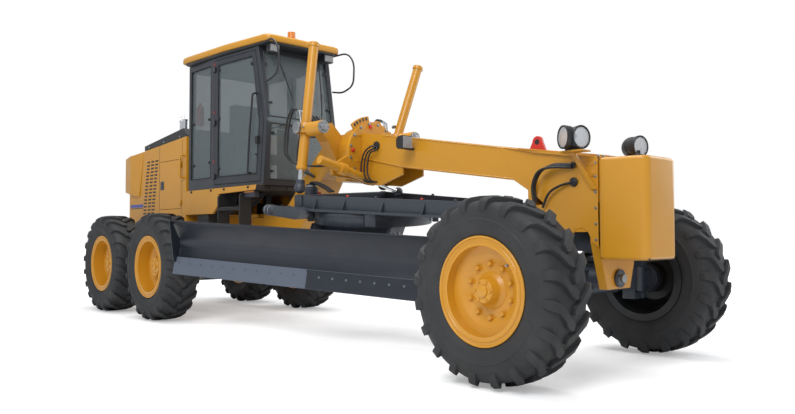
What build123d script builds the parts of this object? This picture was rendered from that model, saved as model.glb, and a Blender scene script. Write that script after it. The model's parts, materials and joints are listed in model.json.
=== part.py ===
from build123d import *
import math
import os

# Motor grader: rigid rear frame with cab, engine and tandem drive, and a front frame hinged to it
# that carries the front axle, the drawbar, the circle and the blade.
# Millimetres. X is forward, Y is left, Z is up. Pieces are laid out about the middle of the tandem
# (x = 0), the machine's middle plane (y = 0) and the ground (z = 0), then moved to the part's frame.

# ---- driving dimensions -------------------------------------------------------------------------
WHEELBASE = 6219
TANDEM_HALF = 769
TRACK_HALF = 1078
AXLE_Z = 670

TYRE_R = 670
TYRE_TREAD_R = 636
TYRE_HALF_W = 222
BEAD_R = 330
BEAD_HALF_W = 165
RIM_FLANGE_R = 379
RIM_BARREL_R = 316

HITCH_X = 1550
HITCH_PIN_R = 45
KINGPIN_Y = 850
KINGPIN_R = 32
TIE_PIN_X = WHEELBASE - 220
TIE_PIN_Y = KINGPIN_Y
TIE_Z = 560

BOOM_HALF_W = 160
BALL = Vector(5780, 0, 1190)
DRAWBAR_YAW, DRAWBAR_PITCH, DRAWBAR_ROLL = 2.26, 4.5, 4.0
CIRCLE_BACK = 2080
CIRCLE_R = 620
CIRCLE_TURN = -74.4
BLADE_X = 795
BLADE_Z = -776
BLADE_RIGHT = -2125
BLADE_LENGTH = 3640
BLADE_TOP = 600
TIP_PIVOT_X, TIP_PIVOT_Z = 640, -610

CAB_REAR, CAB_POST, CAB_FRONT = 520, 1180, 2230
CAB_KNEE = 2290
CAB_ROOF_FRONT = 2120
CAB_HALF_REAR, CAB_HALF_FRONT = 600, 505
CAB_SILL, CAB_KNEE_Z, CAB_TOP = 1650, 2410, 3310
CAB_WALL = 45
HOOD_REAR, HOOD_HALF, HOOD_BOTTOM = -1400, 600, 1200
CAP_REAR, CAP_HALF = -1850, 650
STEP_X = (1340, 1862)
CAB_HINGE = (1212, -612)
ENGINE_HINGE = (306, -612)

LIFT_PIN = Vector(3280, 650, 2180)
SHIFT_HEAD = Vector(3675, -760, 1815)
SHIFT_X, SHIFT_Y = -2110, 400
FIT = 0.5
GAP = 6

# Place of the part's frame: middle of the bounding box on the ground.
ROW_X, ROW_Y = 2422, -116

FORWARD, LEFT, UP = Vector(1, 0, 0), Vector(0, 1, 0), Vector(0, 0, 1)
drawbar_place = Pos(BALL.X, BALL.Y, BALL.Z) * Rotation(0, 0, DRAWBAR_YAW) * Rotation(0, DRAWBAR_PITCH, 0)
drawbar_place = drawbar_place * Rotation(DRAWBAR_ROLL, 0, 0)
circle_place = drawbar_place * Pos(-CIRCLE_BACK, 0, 0) * Rotation(0, 0, CIRCLE_TURN)


# ---- shape helpers ------------------------------------------------------------------------------
def block(x0, x1, y0, y1, z0, z1):
    return Pos((x0 + x1) / 2, (y0 + y1) / 2, (z0 + z1) / 2) * Box(x1 - x0, y1 - y0, z1 - z0)


def bar(start, end, radius):
    """A round bar between two points."""
    start, end = Vector(*start), Vector(*end)
    return Plane(origin=start, z_dir=end - start) * Cylinder(
        radius, (end - start).length, align=(Align.CENTER, Align.CENTER, Align.MIN))


def pipe(start, end, outer, inner):
    return bar(start, end, outer) - bar(start, end, inner)


def polygon(points):
    return Face(Wire.make_polygon([Vector(*p) for p in points]))


def side_plate(outline, y0, y1):
    """A flat plate drawn in side view (x, z), from y0 to y1."""
    return Solid.extrude(polygon([(x, y0, z) for x, z in outline]), Vector(0, y1 - y0, 0))


def plan_plate(outline, z0, z1):
    """A flat plate drawn in plan (x, y), from z0 to z1."""
    return Solid.extrude(polygon([(x, y, z0) for x, y in outline]), Vector(0, 0, z1 - z0))


def cross_plate(outline, x0, x1):
    """A flat plate drawn in front view (y, z), from x0 to x1."""
    return Solid.extrude(polygon([(x0, y, z) for y, z in outline]), Vector(x1 - x0, 0, 0))


def turned(profile):
    """A ring turned about Z from a closed outline of (radius, height)."""
    return revolve(polygon([(r, 0, z) for r, z in profile]), Axis.Z, 360)


def other_side(shape):
    return mirror(shape, about=Plane.XZ)


def both_sides(shape):
    return Compound([shape, other_side(shape)])


def rounded(shape, axis, radius):
    """Rounds the edges that run along one axis."""
    return fillet(shape.edges().filter_by(axis), radius)


def fused(*shapes):
    result = shapes[0]
    for shape in shapes[1:]:
        result = result + shape
    return result


def save(name, shape):
    placed = Pos(-ROW_X, -ROW_Y, 0) * shape
    solids = placed.solids()
    body = solids[0] if len(solids) == 1 else Compound(solids)
    body.label = name
    export_step(body, f"parts/{name}.step")


# ---- wheels -------------------------------------------------------------------------------------
def tyre():
    """Casing and tread, turned about Z, open towards the rim."""
    half = [(BEAD_R, BEAD_HALF_W), (RIM_FLANGE_R + 2, BEAD_HALF_W), (390, 188), (450, 215), (530, TYRE_HALF_W),
            (600, 214), (648, 196), (TYRE_R, 168)]
    inner = [(590, 150), (560, 185), (500, 196), (430, 184), (390, 150), (BEAD_R, 138)]
    outline = half + [(r, -z) for r, z in reversed(half)] + [(r, -z) for r, z in reversed(inner)] + inner
    return turned(outline)


def rim(disc, hub):
    """Barrel with two flanges, a disc at its own offset and a hub; +Z faces outboard."""
    lip, edge = BEAD_HALF_W, BEAD_HALF_W + 14
    barrel = turned([(RIM_BARREL_R, -edge), (RIM_FLANGE_R, -edge), (RIM_FLANGE_R, -lip), (BEAD_R, -lip),
                     (BEAD_R, lip), (RIM_FLANGE_R, lip), (RIM_FLANGE_R, edge), (RIM_BARREL_R, edge)])
    return fused(barrel, turned(disc), turned(hub))


SPINDLE_R = 50
FRONT_DISC = [(120, 42), (200, 42), (262, 78), (318, 88), (318, 104), (256, 94), (192, 60), (120, 60)]
FRONT_HUB = [(SPINDLE_R + FIT, -70), (135, -70), (135, 62), (78, 78), (66, 148), (0, 152), (0, 120),
             (SPINDLE_R + FIT, 120)]
DRIVE_SPINDLE_R = 90
REAR_DISC = [(150, -32), (240, -32), (290, 4), (318, 10), (318, 28), (284, 22), (234, -14), (150, -14)]
REAR_HUB = [(DRIVE_SPINDLE_R + FIT, -90), (160, -90), (160, 10), (120, 26), (112, 92), (0, 96), (0, 70),
            (DRIVE_SPINDLE_R + FIT, 70)]

WHEELS = (  # name, x, side (+1 left, -1 right), disc, hub
    ("front_right", WHEELBASE, -1, FRONT_DISC, FRONT_HUB),
    ("front_left", WHEELBASE, 1, FRONT_DISC, FRONT_HUB),
    ("mid_right", TANDEM_HALF, -1, REAR_DISC, REAR_HUB),
    ("mid_left", TANDEM_HALF, 1, REAR_DISC, REAR_HUB),
    ("rear_right", -TANDEM_HALF, -1, REAR_DISC, REAR_HUB),
    ("rear_left", -TANDEM_HALF, 1, REAR_DISC, REAR_HUB),
)


def make_wheels():
    for name, x, side, disc, hub in WHEELS:
        place = Pos(x, side * TRACK_HALF, AXLE_Z) * Rotation(-90 * side, 0, 0)
        save(f"tyre_{name}", place * tyre())
        save(f"rim_{name}", place * rim(disc, hub))


# ---- rear drive ---------------------------------------------------------------------------------
TANDEM_IN, TANDEM_OUT = 640, 830


def make_rear_axle():
    housing = bar((0, -TANDEM_IN, AXLE_Z), (0, TANDEM_IN, AXLE_Z), 135)
    housing += bar((0, -150, AXLE_Z), (0, 150, AXLE_Z), 250)
    housing += block(-120, 120, -430, -330, AXLE_Z, 900)
    housing += block(-120, 120, 330, 430, AXLE_Z, 900)
    save("rear_axle", housing)


def make_tandems():
    outline = [(-960, 520), (-900, 470), (900, 470), (960, 520), (960, 820), (900, 880), (-900, 880),
               (-960, 820)]
    case = side_plate(outline, -TANDEM_OUT, -TANDEM_IN)
    for x in (-TANDEM_HALF, TANDEM_HALF):
        case += bar((x, -TANDEM_OUT, AXLE_Z), (x, -870, AXLE_Z), 150)
        case += bar((x, -870, AXLE_Z), (x, -TRACK_HALF - 60, AXLE_Z), DRIVE_SPINDLE_R)
    save("tandem_cases", both_sides(case))


# ---- rear frame, engine and hood ----------------------------------------------------------------
def make_rear_frame():
    frame = block(-1900, 1150, 250, 330, 900, 1160)
    frame += other_side(block(-1900, 1150, 250, 330, 900, 1160))
    for x in (-1880, -600, 560):
        frame += block(x, x + 90, -250, 250, 940, 1120)
    tail = [(-1990, -520), (-1900, -600), (-1900, 600), (-1990, 520)]
    frame += plan_plate(tail, 780, 1160)
    frame += block(-2050, -1990, -110, 110, 800, 860) + block(-2050, -1990, -110, 110, 930, 990)
    for z0, z1 in ((915, 955), (1285, 1325)):
        ear = plan_plate([(1000, -330), (1000, 330), (1500, 130), (1500, -130)], z0, z1)
        frame += ear + bar((HITCH_X, 0, z0), (HITCH_X, 0, z1), 110)
    frame += block(1000, 1090, -330, 330, 915, 1325)
    frame -= bar((HITCH_X, 0, 900), (HITCH_X, 0, 1340), HITCH_PIN_R)
    frame -= bar((-2030, 0, 790), (-2030, 0, 1000), 26)
    save("rear_frame", frame)
    save("hitch_pin", bar((HITCH_X, 0, 900), (HITCH_X, 0, 1340), HITCH_PIN_R)
         + bar((HITCH_X, 0, 1340), (HITCH_X, 0, 1360), 75) + bar((HITCH_X, 0, 880), (HITCH_X, 0, 900), 75))


def make_engine():
    save("engine", block(-1250, 150, -230, 230, 1162, 2000))


HOOD_SIDE = [(HOOD_REAR, HOOD_BOTTOM), (440, HOOD_BOTTOM), (440, 2395), (HOOD_REAR, 2270)]
DOOR_HOLE = (-370, 300, 1420, 2100)


def hinge_leaves(axis, reach, heights):
    """Barrels on a right door's hinge line, each with a strap reaching along X onto the door's skin."""
    x, y = axis
    leaves = []
    for z in heights:
        strap = block(min(x, x + reach), max(x, x + reach), y - 5, y + 9, z - 30, z + 30)
        near, far = sorted((x + reach * 0.55, x + reach))
        foot = block(near, far, y - 5, y + 22, z - 30, z + 30)
        leaves.append(strap + foot + bar((x, y, z - 40), (x, y, z + 40), 9))
    return leaves


def make_hood():
    hood = side_plate(HOOD_SIDE, -HOOD_HALF, HOOD_HALF)
    skin = 25
    inner = [(HOOD_REAR - 1, HOOD_BOTTOM - 1), (440 - skin, HOOD_BOTTOM - 1), (440 - skin, 2366),
             (HOOD_REAR - 1, 2242)]
    hood -= side_plate(inner, -HOOD_HALF + skin, HOOD_HALF - skin)
    x0, x1, z0, z1 = DOOR_HOLE
    hood -= block(x0, x1, -700, 700, z0, z1)
    save("engine_hood", hood)
    cover = side_plate([(-960, 2316), (440, 2404), (290, 2522), (-960, 2384)], -575, 575) - hood
    save("hood_cover", cover)
    stack = pipe((150, -520, 2420), (150, -520, 2640), 32, 26) + pipe((240, -520, 2420), (240, -520, 2650), 32, 26)
    save("exhaust_stack", stack - hood - cover)
    door = block(x0 + GAP, x1 - GAP, -HOOD_HALF, -HOOD_HALF + skin, z0 + GAP, z1 - GAP)
    door += hinge_leaves(ENGINE_HINGE, -25, (1500, 2020))
    save("engine_door_right", door)
    save("engine_door_left", other_side(door))


def make_tail():
    """Rear cap: wider than the hood, with a chamfered corner each side and the radiator's grille on its back."""
    right = [(-930, -601), (-1300, -CAP_HALF), (-1600, -600), (CAP_REAR, -430)]
    plan = right + [(x, -y) for x, y in reversed(right)]
    side = [(-1050, 1633), (-1650, 1733), (CAP_REAR, 1733), (CAP_REAR, 2205), (-1540, 2240), (-930, 2290)]
    cap = plan_plate(plan, 1600, 2300) & side_plate(side, -700, 700)
    inner = [(-960, 1500), (CAP_REAR + 60, 1500), (CAP_REAR + 60, 2150), (-1540, 2190), (-960, 2240)]
    cap -= side_plate(inner, -540, 540)
    cap -= side_plate(HOOD_SIDE, -HOOD_HALF, HOOD_HALF)
    cap += block(CAP_REAR, CAP_REAR + 60, -430, 430, HOOD_BOTTOM, 1740)
    for y in (-430, 400):
        cap += block(CAP_REAR, HOOD_REAR, y, y + 30, HOOD_BOTTOM, 1740)
    cap += block(CAP_REAR - 20, CAP_REAR, -330, 330, 1400, 2150)
    save("radiator_guard", cap)


# ---- cab ----------------------------------------------------------------------------------------
def half_width(x):
    """Half width of the cab at one x: parallel to the door post, then narrowing to the front."""
    if x <= CAB_POST:
        return CAB_HALF_REAR
    return CAB_HALF_REAR - (CAB_HALF_REAR - CAB_HALF_FRONT) * (x - CAB_POST) / (CAB_KNEE - CAB_POST)


CAB_PLAN = [(CAB_REAR, -CAB_HALF_REAR), (CAB_POST, -CAB_HALF_REAR), (2400, -half_width(2400)),
            (2400, half_width(2400)), (CAB_POST, CAB_HALF_REAR), (CAB_REAR, CAB_HALF_REAR)]
CAB_SIDE = [(CAB_REAR, CAB_SILL), (CAB_FRONT, CAB_SILL), (CAB_KNEE, CAB_KNEE_Z), (CAB_ROOF_FRONT, CAB_TOP),
            (CAB_REAR, CAB_TOP)]


def shrunk_plan(wall):
    return [(x + (wall if x == CAB_REAR else 0), y - wall if y > 0 else y + wall) for x, y in CAB_PLAN]


def cab_block(wall, floor):
    """The cab's outer block, or with a wall thickness its inside."""
    side = [(CAB_REAR + wall, CAB_SILL + floor), (CAB_FRONT - wall, CAB_SILL + floor),
            (CAB_KNEE - wall, CAB_KNEE_Z), (CAB_ROOF_FRONT - wall, CAB_TOP + (1 if wall else 0)),
            (CAB_REAR + wall, CAB_TOP + (1 if wall else 0))]
    plan = plan_plate(shrunk_plan(wall), CAB_SILL - 10, CAB_TOP + 10)
    return side_plate(side, -800, 800) & plan


DOOR_OUTLINE = [(CAB_POST + 45, 1700), (2170, 1700), (2228, 2410), (2062, 3270), (CAB_POST + 45, 3270)]
DOOR_WINDOW = [(CAB_POST + 105, 1790), (2098, 1790), (2150, 2400), (2010, 3210), (CAB_POST + 105, 3210)]
QUARTER = [(CAB_REAR + 60, 1790), (CAB_POST - 60, 1790), (CAB_POST - 60, 3230), (CAB_REAR + 60, 3230)]


def grown(outline, by):
    """An outline moved outwards from its own middle, by the same distance in x and in z."""
    xs, zs = [p[0] for p in outline], [p[1] for p in outline]
    mid_x, mid_z = (min(xs) + max(xs)) / 2, (min(zs) + max(zs)) / 2
    return [(x + math.copysign(by, x - mid_x), z + (math.copysign(by, z - mid_z) if abs(z - mid_z) > 60 else 0))
            for x, z in outline]


def side_skin(outline, thickness, inset=0):
    """A right-hand panel that follows the cab's side: outline in side view, thickness inwards."""
    full = side_plate(outline, -800, 0)
    outer = plan_plate(shrunk_plan(inset), CAB_SILL - 20, CAB_TOP + 20)
    inner = plan_plate(shrunk_plan(inset + thickness), CAB_SILL - 30, CAB_TOP + 30)
    return full & (outer - inner)


def make_cab():
    shell = cab_block(0, 0) - cab_block(CAB_WALL, 40)
    door_hole = side_plate(grown(DOOR_OUTLINE, GAP), -900, 900)
    shell -= door_hole
    shell -= side_plate(QUARTER, -900, 900)
    rear_window = block(CAB_REAR - 50, CAB_REAR + 100, -520, 520, 2480, 3230)
    shell -= rear_window
    upper = block(1900, 2500, -455, 455, 2460, 3250)
    lower = block(1900, 2500, -440, 440, 1720, 2380)
    shell -= upper
    shell -= lower
    save("cab_frame", shell)

    pane = 8
    panes = []
    slab = cab_block(18, 0) - cab_block(18 + pane, 0)
    panes.append(slab & block(1900, 2500, -455, 455, 2460, 3250))
    panes.append(slab & block(1900, 2500, -440, 440, 1720, 2380))
    panes.append(block(CAB_REAR + 18, CAB_REAR + 18 + pane, -520, 520, 2480, 3230))
    quarter = side_skin(QUARTER, pane, 18)
    panes += [quarter, other_side(quarter)]
    save("cab_glass", Compound([s for p in panes for s in p.solids()]))

    door = side_skin(DOOR_OUTLINE, CAB_WALL - 5) - side_plate(DOOR_WINDOW, -900, 0)
    glass = side_skin(DOOR_WINDOW, pane, 16)
    door += hinge_leaves(CAB_HINGE, 38, (1800, 2480, 3160))
    save("cab_door_right", door)
    save("door_glass_right", glass)
    save("cab_door_left", other_side(door))
    save("door_glass_left", other_side(glass))


def make_roof():
    edge = [(450, -705), (1530, -640), (2300, -540), (2350, -500), (2350, 500), (2300, 540), (1530, 640),
            (450, 705)]
    roof = plan_plate(edge, CAB_TOP, 3420)
    roof += plan_plate([(x * 0.86 + 200, y * 0.8) for x, y in edge], 3420, 3470)
    save("cab_roof", roof)
    save("beacon", bar((2050, 0, 3470), (2050, 0, 3500), 62) + bar((2050, 0, 3500), (2050, 0, 3580), 48))


def make_cab_base():
    skirt = side_plate([(445, 1330), (1180, 1330), (1300, 1420), (1330, 1575), (2200, 1590), (2225, CAB_SILL),
                        (445, CAB_SILL)], -CAB_HALF_REAR, -CAB_HALF_REAR + 30)
    skirt += side_plate([(1330, 1575), (2200, 1590), (2225, CAB_SILL), (1330, CAB_SILL)], -CAB_HALF_REAR,
                        -CAB_HALF_REAR + 120)
    deck = block(445, 2200, -570, 570, 1590, CAB_SILL)
    legs = block(500, 600, 250, 330, 1160, 1590) + block(1010, 1090, 250, 330, 1325, 1590)
    base = fused(deck, skirt, other_side(skirt), legs, other_side(legs))
    save("cab_base", base)
    return base


def make_cab_inside():
    seat = block(980, 1480, -250, 250, 1990, 2110) + block(950, 1070, -240, 240, 2110, 2780)
    seat += block(1100, 1360, -150, 150, CAB_SILL + 40, 1990)
    save("operator_seat", seat)
    console = side_plate([(1900, CAB_SILL + 40), (2060, CAB_SILL + 40), (2030, 2330), (1900, 2380)], -110, 110)
    console += block(1500, 1700, -420, -290, CAB_SILL + 40, 2250)
    console += block(1500, 1700, 290, 420, CAB_SILL + 40, 2250)
    console = Compound(console.solids())
    save("control_console", console)
    wheel = Pos(1850, 0, 2430) * Rotation(0, -25, 0) * Torus(195, 14)
    hub = Pos(1850, 0, 2430) * Rotation(0, -25, 0) * Cylinder(45, 24)
    for turn in (0, 120, 240):
        hub += Pos(1850, 0, 2430) * Rotation(0, -25, 0) * Rotation(0, 0, turn) * Pos(115, 0, 0) * Box(160, 24, 14)
    save("steering_wheel", wheel + hub)


def make_steps(base):
    """Ladder under each cab door: two cross plates with rounded tops and two treads."""
    ladder = Compound([])
    for x in STEP_X:
        leg = cross_plate([(-620, 950), (-460, 950), (-460, 1589), (-560, 1589), (-620, 1540)], x, x + 25)
        ladder = leg if x == STEP_X[0] else ladder + leg
    for z in (990, 1365):
        ladder += block(STEP_X[0] + 25, STEP_X[1], -620, -480, z, z + 25)
    save("steps", both_sides(ladder) - base)


# ---- front frame --------------------------------------------------------------------------------
BOOM_OUTLINE = [(1430, 965), (2330, 965), (2540, 1200), (2900, 1690), (3150, 1850), (3600, 1870), (4250, 1730),
                (5890, 1490), (6120, 1360), (6340, 1250), (6540, 1240), (6540, 1668), (6000, 1752),
                (5490, 1830), (4390, 2020), (3950, 2095), (3550, 2150), (3250, 2160), (3030, 2120), (2820, 1980),
                (2210, 1400), (2170, 1345), (1690, 1345), (1690, 1275), (1430, 1275)]
LUG_FRONT, LUG_REAR = (6470, 6540), (5890, 5950)


def make_front_frame():
    frame = side_plate(BOOM_OUTLINE, -BOOM_HALF_W, BOOM_HALF_W)
    frame -= block(1400, 1665, -400, 400, 900, 960)
    frame += bar((HITCH_X, 0, 965), (HITCH_X, 0, 1275), 120)
    lug = [(-280, 1300), (-280, 1000), (-165, 640), (165, 640), (280, 1000), (280, 1300)]
    frame += cross_plate(lug, *LUG_FRONT)
    frame += cross_plate([(y, z + 200 if z == 1300 else z) for y, z in lug], *LUG_REAR)
    frame += block(5950, 6470, -280, -250, 1080, 1300) + block(5950, 6470, 250, 280, 1080, 1300)
    frame += block(5890, 6540, -280, 280, 1270, 1300)
    frame += bar((BALL.X + 30, 0, BALL.Z), (5890, 0, BALL.Z), 55)
    frame -= bar((5800, 0, 720), (6600, 0, 720), 45 + FIT)
    frame -= bar((HITCH_X, 0, 900), (HITCH_X, 0, 1340), HITCH_PIN_R + FIT)
    frame += Pos(BALL.X, 0, BALL.Z) * Sphere(70)
    save("front_frame", frame)
    return frame


def make_nose():
    outline = [(6541, -300), (6880, -225), (6915, -185), (6915, 185), (6880, 225), (6541, 300)]
    nose = plan_plate(outline, 870, 1640)
    nose = fillet(nose.edges().filter_by(Axis.Z).group_by(Axis.X)[-1], 20)
    save("nose_box", nose)


# ---- cylinders ----------------------------------------------------------------------------------
SHIFT_PIVOT = 300


def shift_ball():
    return (drawbar_place * Pos(SHIFT_X, SHIFT_Y, 150)).position


def make_shift_cylinder():
    head, ball = SHIFT_HEAD, shift_ball()
    line = (ball - head).normalized()
    gland, pivot = head + line * 740, head + line * SHIFT_PIVOT
    barrel = bar(head, gland, 45) - bar(head + line * 30, gland + line, 24 + FIT)
    barrel += bar(pivot - line * 40, pivot + line * 40, 64) - bar(pivot - line * 41, pivot + line * 41, 45)
    barrel += bar((3568, pivot.Y, pivot.Z), (3640, pivot.Y, pivot.Z), 25) - bar(head + line, gland, 44)
    save("shift_barrel", barrel)
    rod = bar(head + line * 100, ball - line * 20, 24)
    rod += Pos(ball.X, ball.Y, ball.Z) * Sphere(50)
    save("shift_rod", rod)


def make_saddle(frame):
    mid_z = 1935
    ring = bar((3560, 0, mid_z), (3620, 0, mid_z), 340)
    drum = bar((3380, 0, mid_z), (3560, 0, mid_z), 300)
    arm = cross_plate([(-200, 2080), (-380, 2260), (-470, 2230), (-500, 2130), (-430, 2060), (-260, 1760),
                       (-160, 1720), (-160, 2080)], 3220, 3379)
    saddle = fused(ring, drum, arm, other_side(arm))
    head, line = SHIFT_HEAD, (shift_ball() - SHIFT_HEAD).normalized()
    pivot = head + line * SHIFT_PIVOT
    lower = cross_plate([(-200, 1900), (-330, 1900), (pivot.Y - 70, pivot.Z + 40), (pivot.Y - 70, pivot.Z - 60),
                         (pivot.Y + 60, pivot.Z - 80), (-200, 1640)], 3561, 3610)
    saddle += lower
    saddle -= bar((3500, pivot.Y, pivot.Z), (3700, pivot.Y, pivot.Z), 25 + FIT)
    saddle += block(3220, 3400, -200, 200, 1640, 1860)
    for side in (-1, 1):
        pin = Vector(LIFT_PIN.X, side * LIFT_PIN.Y, LIFT_PIN.Z)
        saddle += pipe(pin - Vector(0, 0, 50), pin + Vector(0, 0, 50), 105, 85)
        inner, outer = side * 470, side * 560
        saddle += block(3240, 3320, min(inner, outer), max(inner, outer), 2135, 2225)
    solids = (saddle - frame).solids()
    save("saddle", Compound(solids) if len(solids) > 1 else solids[0])


def make_front_axle():
    axle = block(6110, 6330, -630, 630, 600, 780) + block(6160, 6278, -720, 720, 600, 780)
    axle += bar((5960, 0, 720), (6460, 0, 720), 100)
    axle += bar((5880, 0, 720), (6560, 0, 720), 45)
    axle += bar((6541, 0, 720), (6560, 0, 720), 70)
    for side in (-1, 1):
        for z0, z1 in ((500, 556), (784, 840)):
            low, high = sorted((side * 695, side * KINGPIN_Y))
            axle += block(6160, 6278, low, high, z0, z1)
            axle += bar((WHEELBASE, side * KINGPIN_Y, z0), (WHEELBASE, side * KINGPIN_Y, z1), 69)
        low, high = sorted((side * 695, side * 720))
        axle += block(6160, 6278, low, high, 500, 840)
        axle -= bar((WHEELBASE, side * KINGPIN_Y, 490), (WHEELBASE, side * KINGPIN_Y, 850), KINGPIN_R + FIT)
    save("front_axle", axle)


def knuckle():
    """Right steering knuckle: kingpin, boss, spindle and rearward arm."""
    x, y = WHEELBASE, -KINGPIN_Y
    piece = bar((x, y, 500), (x, y, 840), KINGPIN_R)
    piece += bar((x, y, 562), (x, y, 778), 66)
    piece += block(x - 60, x + 60, y - 130, y, 600, 740)
    piece += bar((x, y - 130, AXLE_Z), (x, y - 146, AXLE_Z), 120)
    piece += bar((x, y - 130, AXLE_Z), (x, -TRACK_HALF - 110, AXLE_Z), SPINDLE_R)
    piece += plan_plate([(x, y - 42), (x, y + 42), (TIE_PIN_X, y + 28), (TIE_PIN_X, y - 28)], 585, 615)
    piece += bar((TIE_PIN_X, -TIE_PIN_Y, 585), (TIE_PIN_X, -TIE_PIN_Y, 615), 32)
    piece += bar((TIE_PIN_X, -TIE_PIN_Y, 535), (TIE_PIN_X, -TIE_PIN_Y, 585), 14)
    return piece


def make_knuckles():
    save("knuckle_right", knuckle())
    save("knuckle_left", other_side(knuckle()))
    rod = bar((TIE_PIN_X, -TIE_PIN_Y + 30, TIE_Z), (TIE_PIN_X, TIE_PIN_Y - 30, TIE_Z), 20)
    for y in (-TIE_PIN_Y, TIE_PIN_Y):
        rod += bar((TIE_PIN_X, y, TIE_Z - 20), (TIE_PIN_X, y, TIE_Z + 20), 33)
        rod -= bar((TIE_PIN_X, y, TIE_Z - 30), (TIE_PIN_X, y, TIE_Z + 30), 14 + FIT)
    save("tie_rod", rod)


def make_lamps():
    arm = bar((6470, -281, 1560), (6440, -400, 1600), 24) + bar((6440, -400, 1600), (6500, -430, 1676), 24)
    arm += Pos(6500, -430, 1676) * Sphere(24) + Pos(6440, -400, 1600) * Sphere(24)
    save("lamp_arms", both_sides(arm))
    lamp = bar((6440, -430, 1790), (6500, -430, 1785), 85) + bar((6400, -430, 1793), (6440, -430, 1790), 60)
    save("head_lamps", both_sides(lamp))


# ---- drawbar, circle and blade ------------------------------------------------------------------
def make_drawbar():
    side = [(-140, -62), (-2560, -600), (-2560, -640), (-140, -90)]
    web = plan_plate(side, 0, 130)
    flange = plan_plate([(-140, -62), (-2560, -600), (-2640, -720), (-2300, -700), (-140, -140)], -22, 0)
    bar_half = web + flange
    body = bar_half + other_side(bar_half)
    body += block(-2600, -2480, -640, 640, -22, 130)
    body += plan_plate([(-140, -90), (-1300, -350), (-1300, 350), (-140, 90)], -22, 0)
    body += block(-150, -70, -90, 90, -22, 130)
    body += pipe((0, 0, -80), (0, 0, 80), 110, 76) - block(0, 200, -200, 200, -200, 200)
    body += block(-80, -70, -80, 80, -22, 80)
    for side_y in (-600, 600):
        body += bar((-2560, side_y, 120), (-2560, side_y, 135), 34)
    body += block(SHIFT_X - 50, SHIFT_X + 50, SHIFT_Y - 50, 530, 30, 60)
    body += bar((SHIFT_X, SHIFT_Y, 60), (SHIFT_X, SHIFT_Y, 76), 34)
    save("drawbar", drawbar_place * body)
    drive = block(-2960, -2720, -330, -130, -150, -10) + block(-2960, -2600, -330, -130, -10, 20)
    save("circle_drive", drawbar_place * drive)


def make_circle():
    ring = Cylinder(CIRCLE_R, 130) - Cylinder(CIRCLE_R - 70, 140)
    ring = Pos(0, 0, -95) * ring
    arm = side_plate([(150, -160), (440, -160), (640, -560), (640, -640), (600, -640), (560, -520), (250, -300)],
                     -480, -440)
    arm += bar((TIP_PIVOT_X, -480, TIP_PIVOT_Z), (TIP_PIVOT_X, -440, TIP_PIVOT_Z), 46)
    arm -= bar((TIP_PIVOT_X, -500, TIP_PIVOT_Z), (TIP_PIVOT_X, -400, TIP_PIVOT_Z), 30 + FIT)
    body = ring + arm + other_side(arm)
    body += block(250, 300, -440, 440, -300, -160)
    save("circle", circle_place * body)


def blade_arc():
    """Section of the moldboard in the circle's frame: a plate 20 thick, concave to the front."""
    top = (BLADE_X + 40, BLADE_Z + BLADE_TOP)
    mid = (BLADE_X - 85, BLADE_Z + 350)
    low = (BLADE_X - 40, BLADE_Z + 130)
    return top, mid, low


def blade_skin(thickness, y0, y1):
    top, mid, low = blade_arc()
    front = ThreePointArc((top[0], y0, top[1]), (mid[0], y0, mid[1]), (low[0], y0, low[1]))
    back = ThreePointArc((low[0] - thickness, y0, low[1]), (mid[0] - thickness, y0, mid[1]),
                         (top[0] - thickness, y0, top[1]))
    outline = Wire([front, Line(front @ 1, back @ 0), back, Line(back @ 1, front @ 0)])
    return Solid.extrude(Face(outline), Vector(0, y1 - y0, 0))


def make_blade():
    right, left = BLADE_RIGHT, BLADE_RIGHT + BLADE_LENGTH
    top, mid, low = blade_arc()
    board = blade_skin(22, right, left)
    for x0, x1, z in ((low[0] - 42, low[0] - 10, low[1] + 10), (mid[0] - 55, mid[0] - 10, mid[1] + 60)):
        board += block(x0, x1, right + 200, left - 200, z, z + 40)
    for y in (right, left - 16):
        board += side_plate([(top[0] + 20, top[1]), (BLADE_X + 10, BLADE_Z + 140), (low[0] - 10, low[1]),
                             (mid[0] - 10, mid[1]), (top[0] - 10, top[1])], y, y + 16)
    save("moldboard", circle_place * board)
    edge = side_plate([(low[0] + 2, low[1] + 60), (BLADE_X + 8, BLADE_Z), (BLADE_X - 14, BLADE_Z),
                       (low[0] - 22, low[1] - 2)], right - 12, left + 12)
    save("cutting_edge", circle_place * (edge - board))
    carrier = Compound([])
    shoe = block(TIP_PIVOT_X - 60, TIP_PIVOT_X - 10, -420, -360, TIP_PIVOT_Z - 40, -240)
    shoe += block(TIP_PIVOT_X - 60, low[0] - 76, -420, -360, TIP_PIVOT_Z - 40, TIP_PIVOT_Z + 30)
    shoe += block(TIP_PIVOT_X - 10, mid[0] - 66, -420, -360, -440, -300)
    shoe += bar((TIP_PIVOT_X, -480, TIP_PIVOT_Z), (TIP_PIVOT_X, -360, TIP_PIVOT_Z), 30)
    carrier = shoe + other_side(shoe) + block(TIP_PIVOT_X - 60, TIP_PIVOT_X - 20, -360, 360, -460, -400)
    save("blade_carrier", circle_place * carrier)


def lift_ball(side):
    return (drawbar_place * Pos(-2560, side * 600, 205)).position


def make_lift_cylinders():
    for name, side in (("right", -1), ("left", 1)):
        pin = Vector(LIFT_PIN.X, side * LIFT_PIN.Y, LIFT_PIN.Z)
        ball = lift_ball(side)
        line = (pin - ball).normalized()
        gland = ball + line * 190
        top = pin + line * 930
        barrel = bar(gland, top, 52) - bar(gland - line, top - line * 40, 30 + FIT)
        barrel += bar(pin - line * 45, pin + line * 45, 68) - bar(pin - line * 46, pin + line * 46, 52)
        rod = bar(ball + line * 60, ball + line * 1350, 30)
        save(f"lift_barrel_{name}", barrel)
        save(f"lift_rod_{name}", rod + Pos(ball.X, ball.Y, ball.Z) * Sphere(60) + bar(ball, ball + line * 80, 48))


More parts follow.
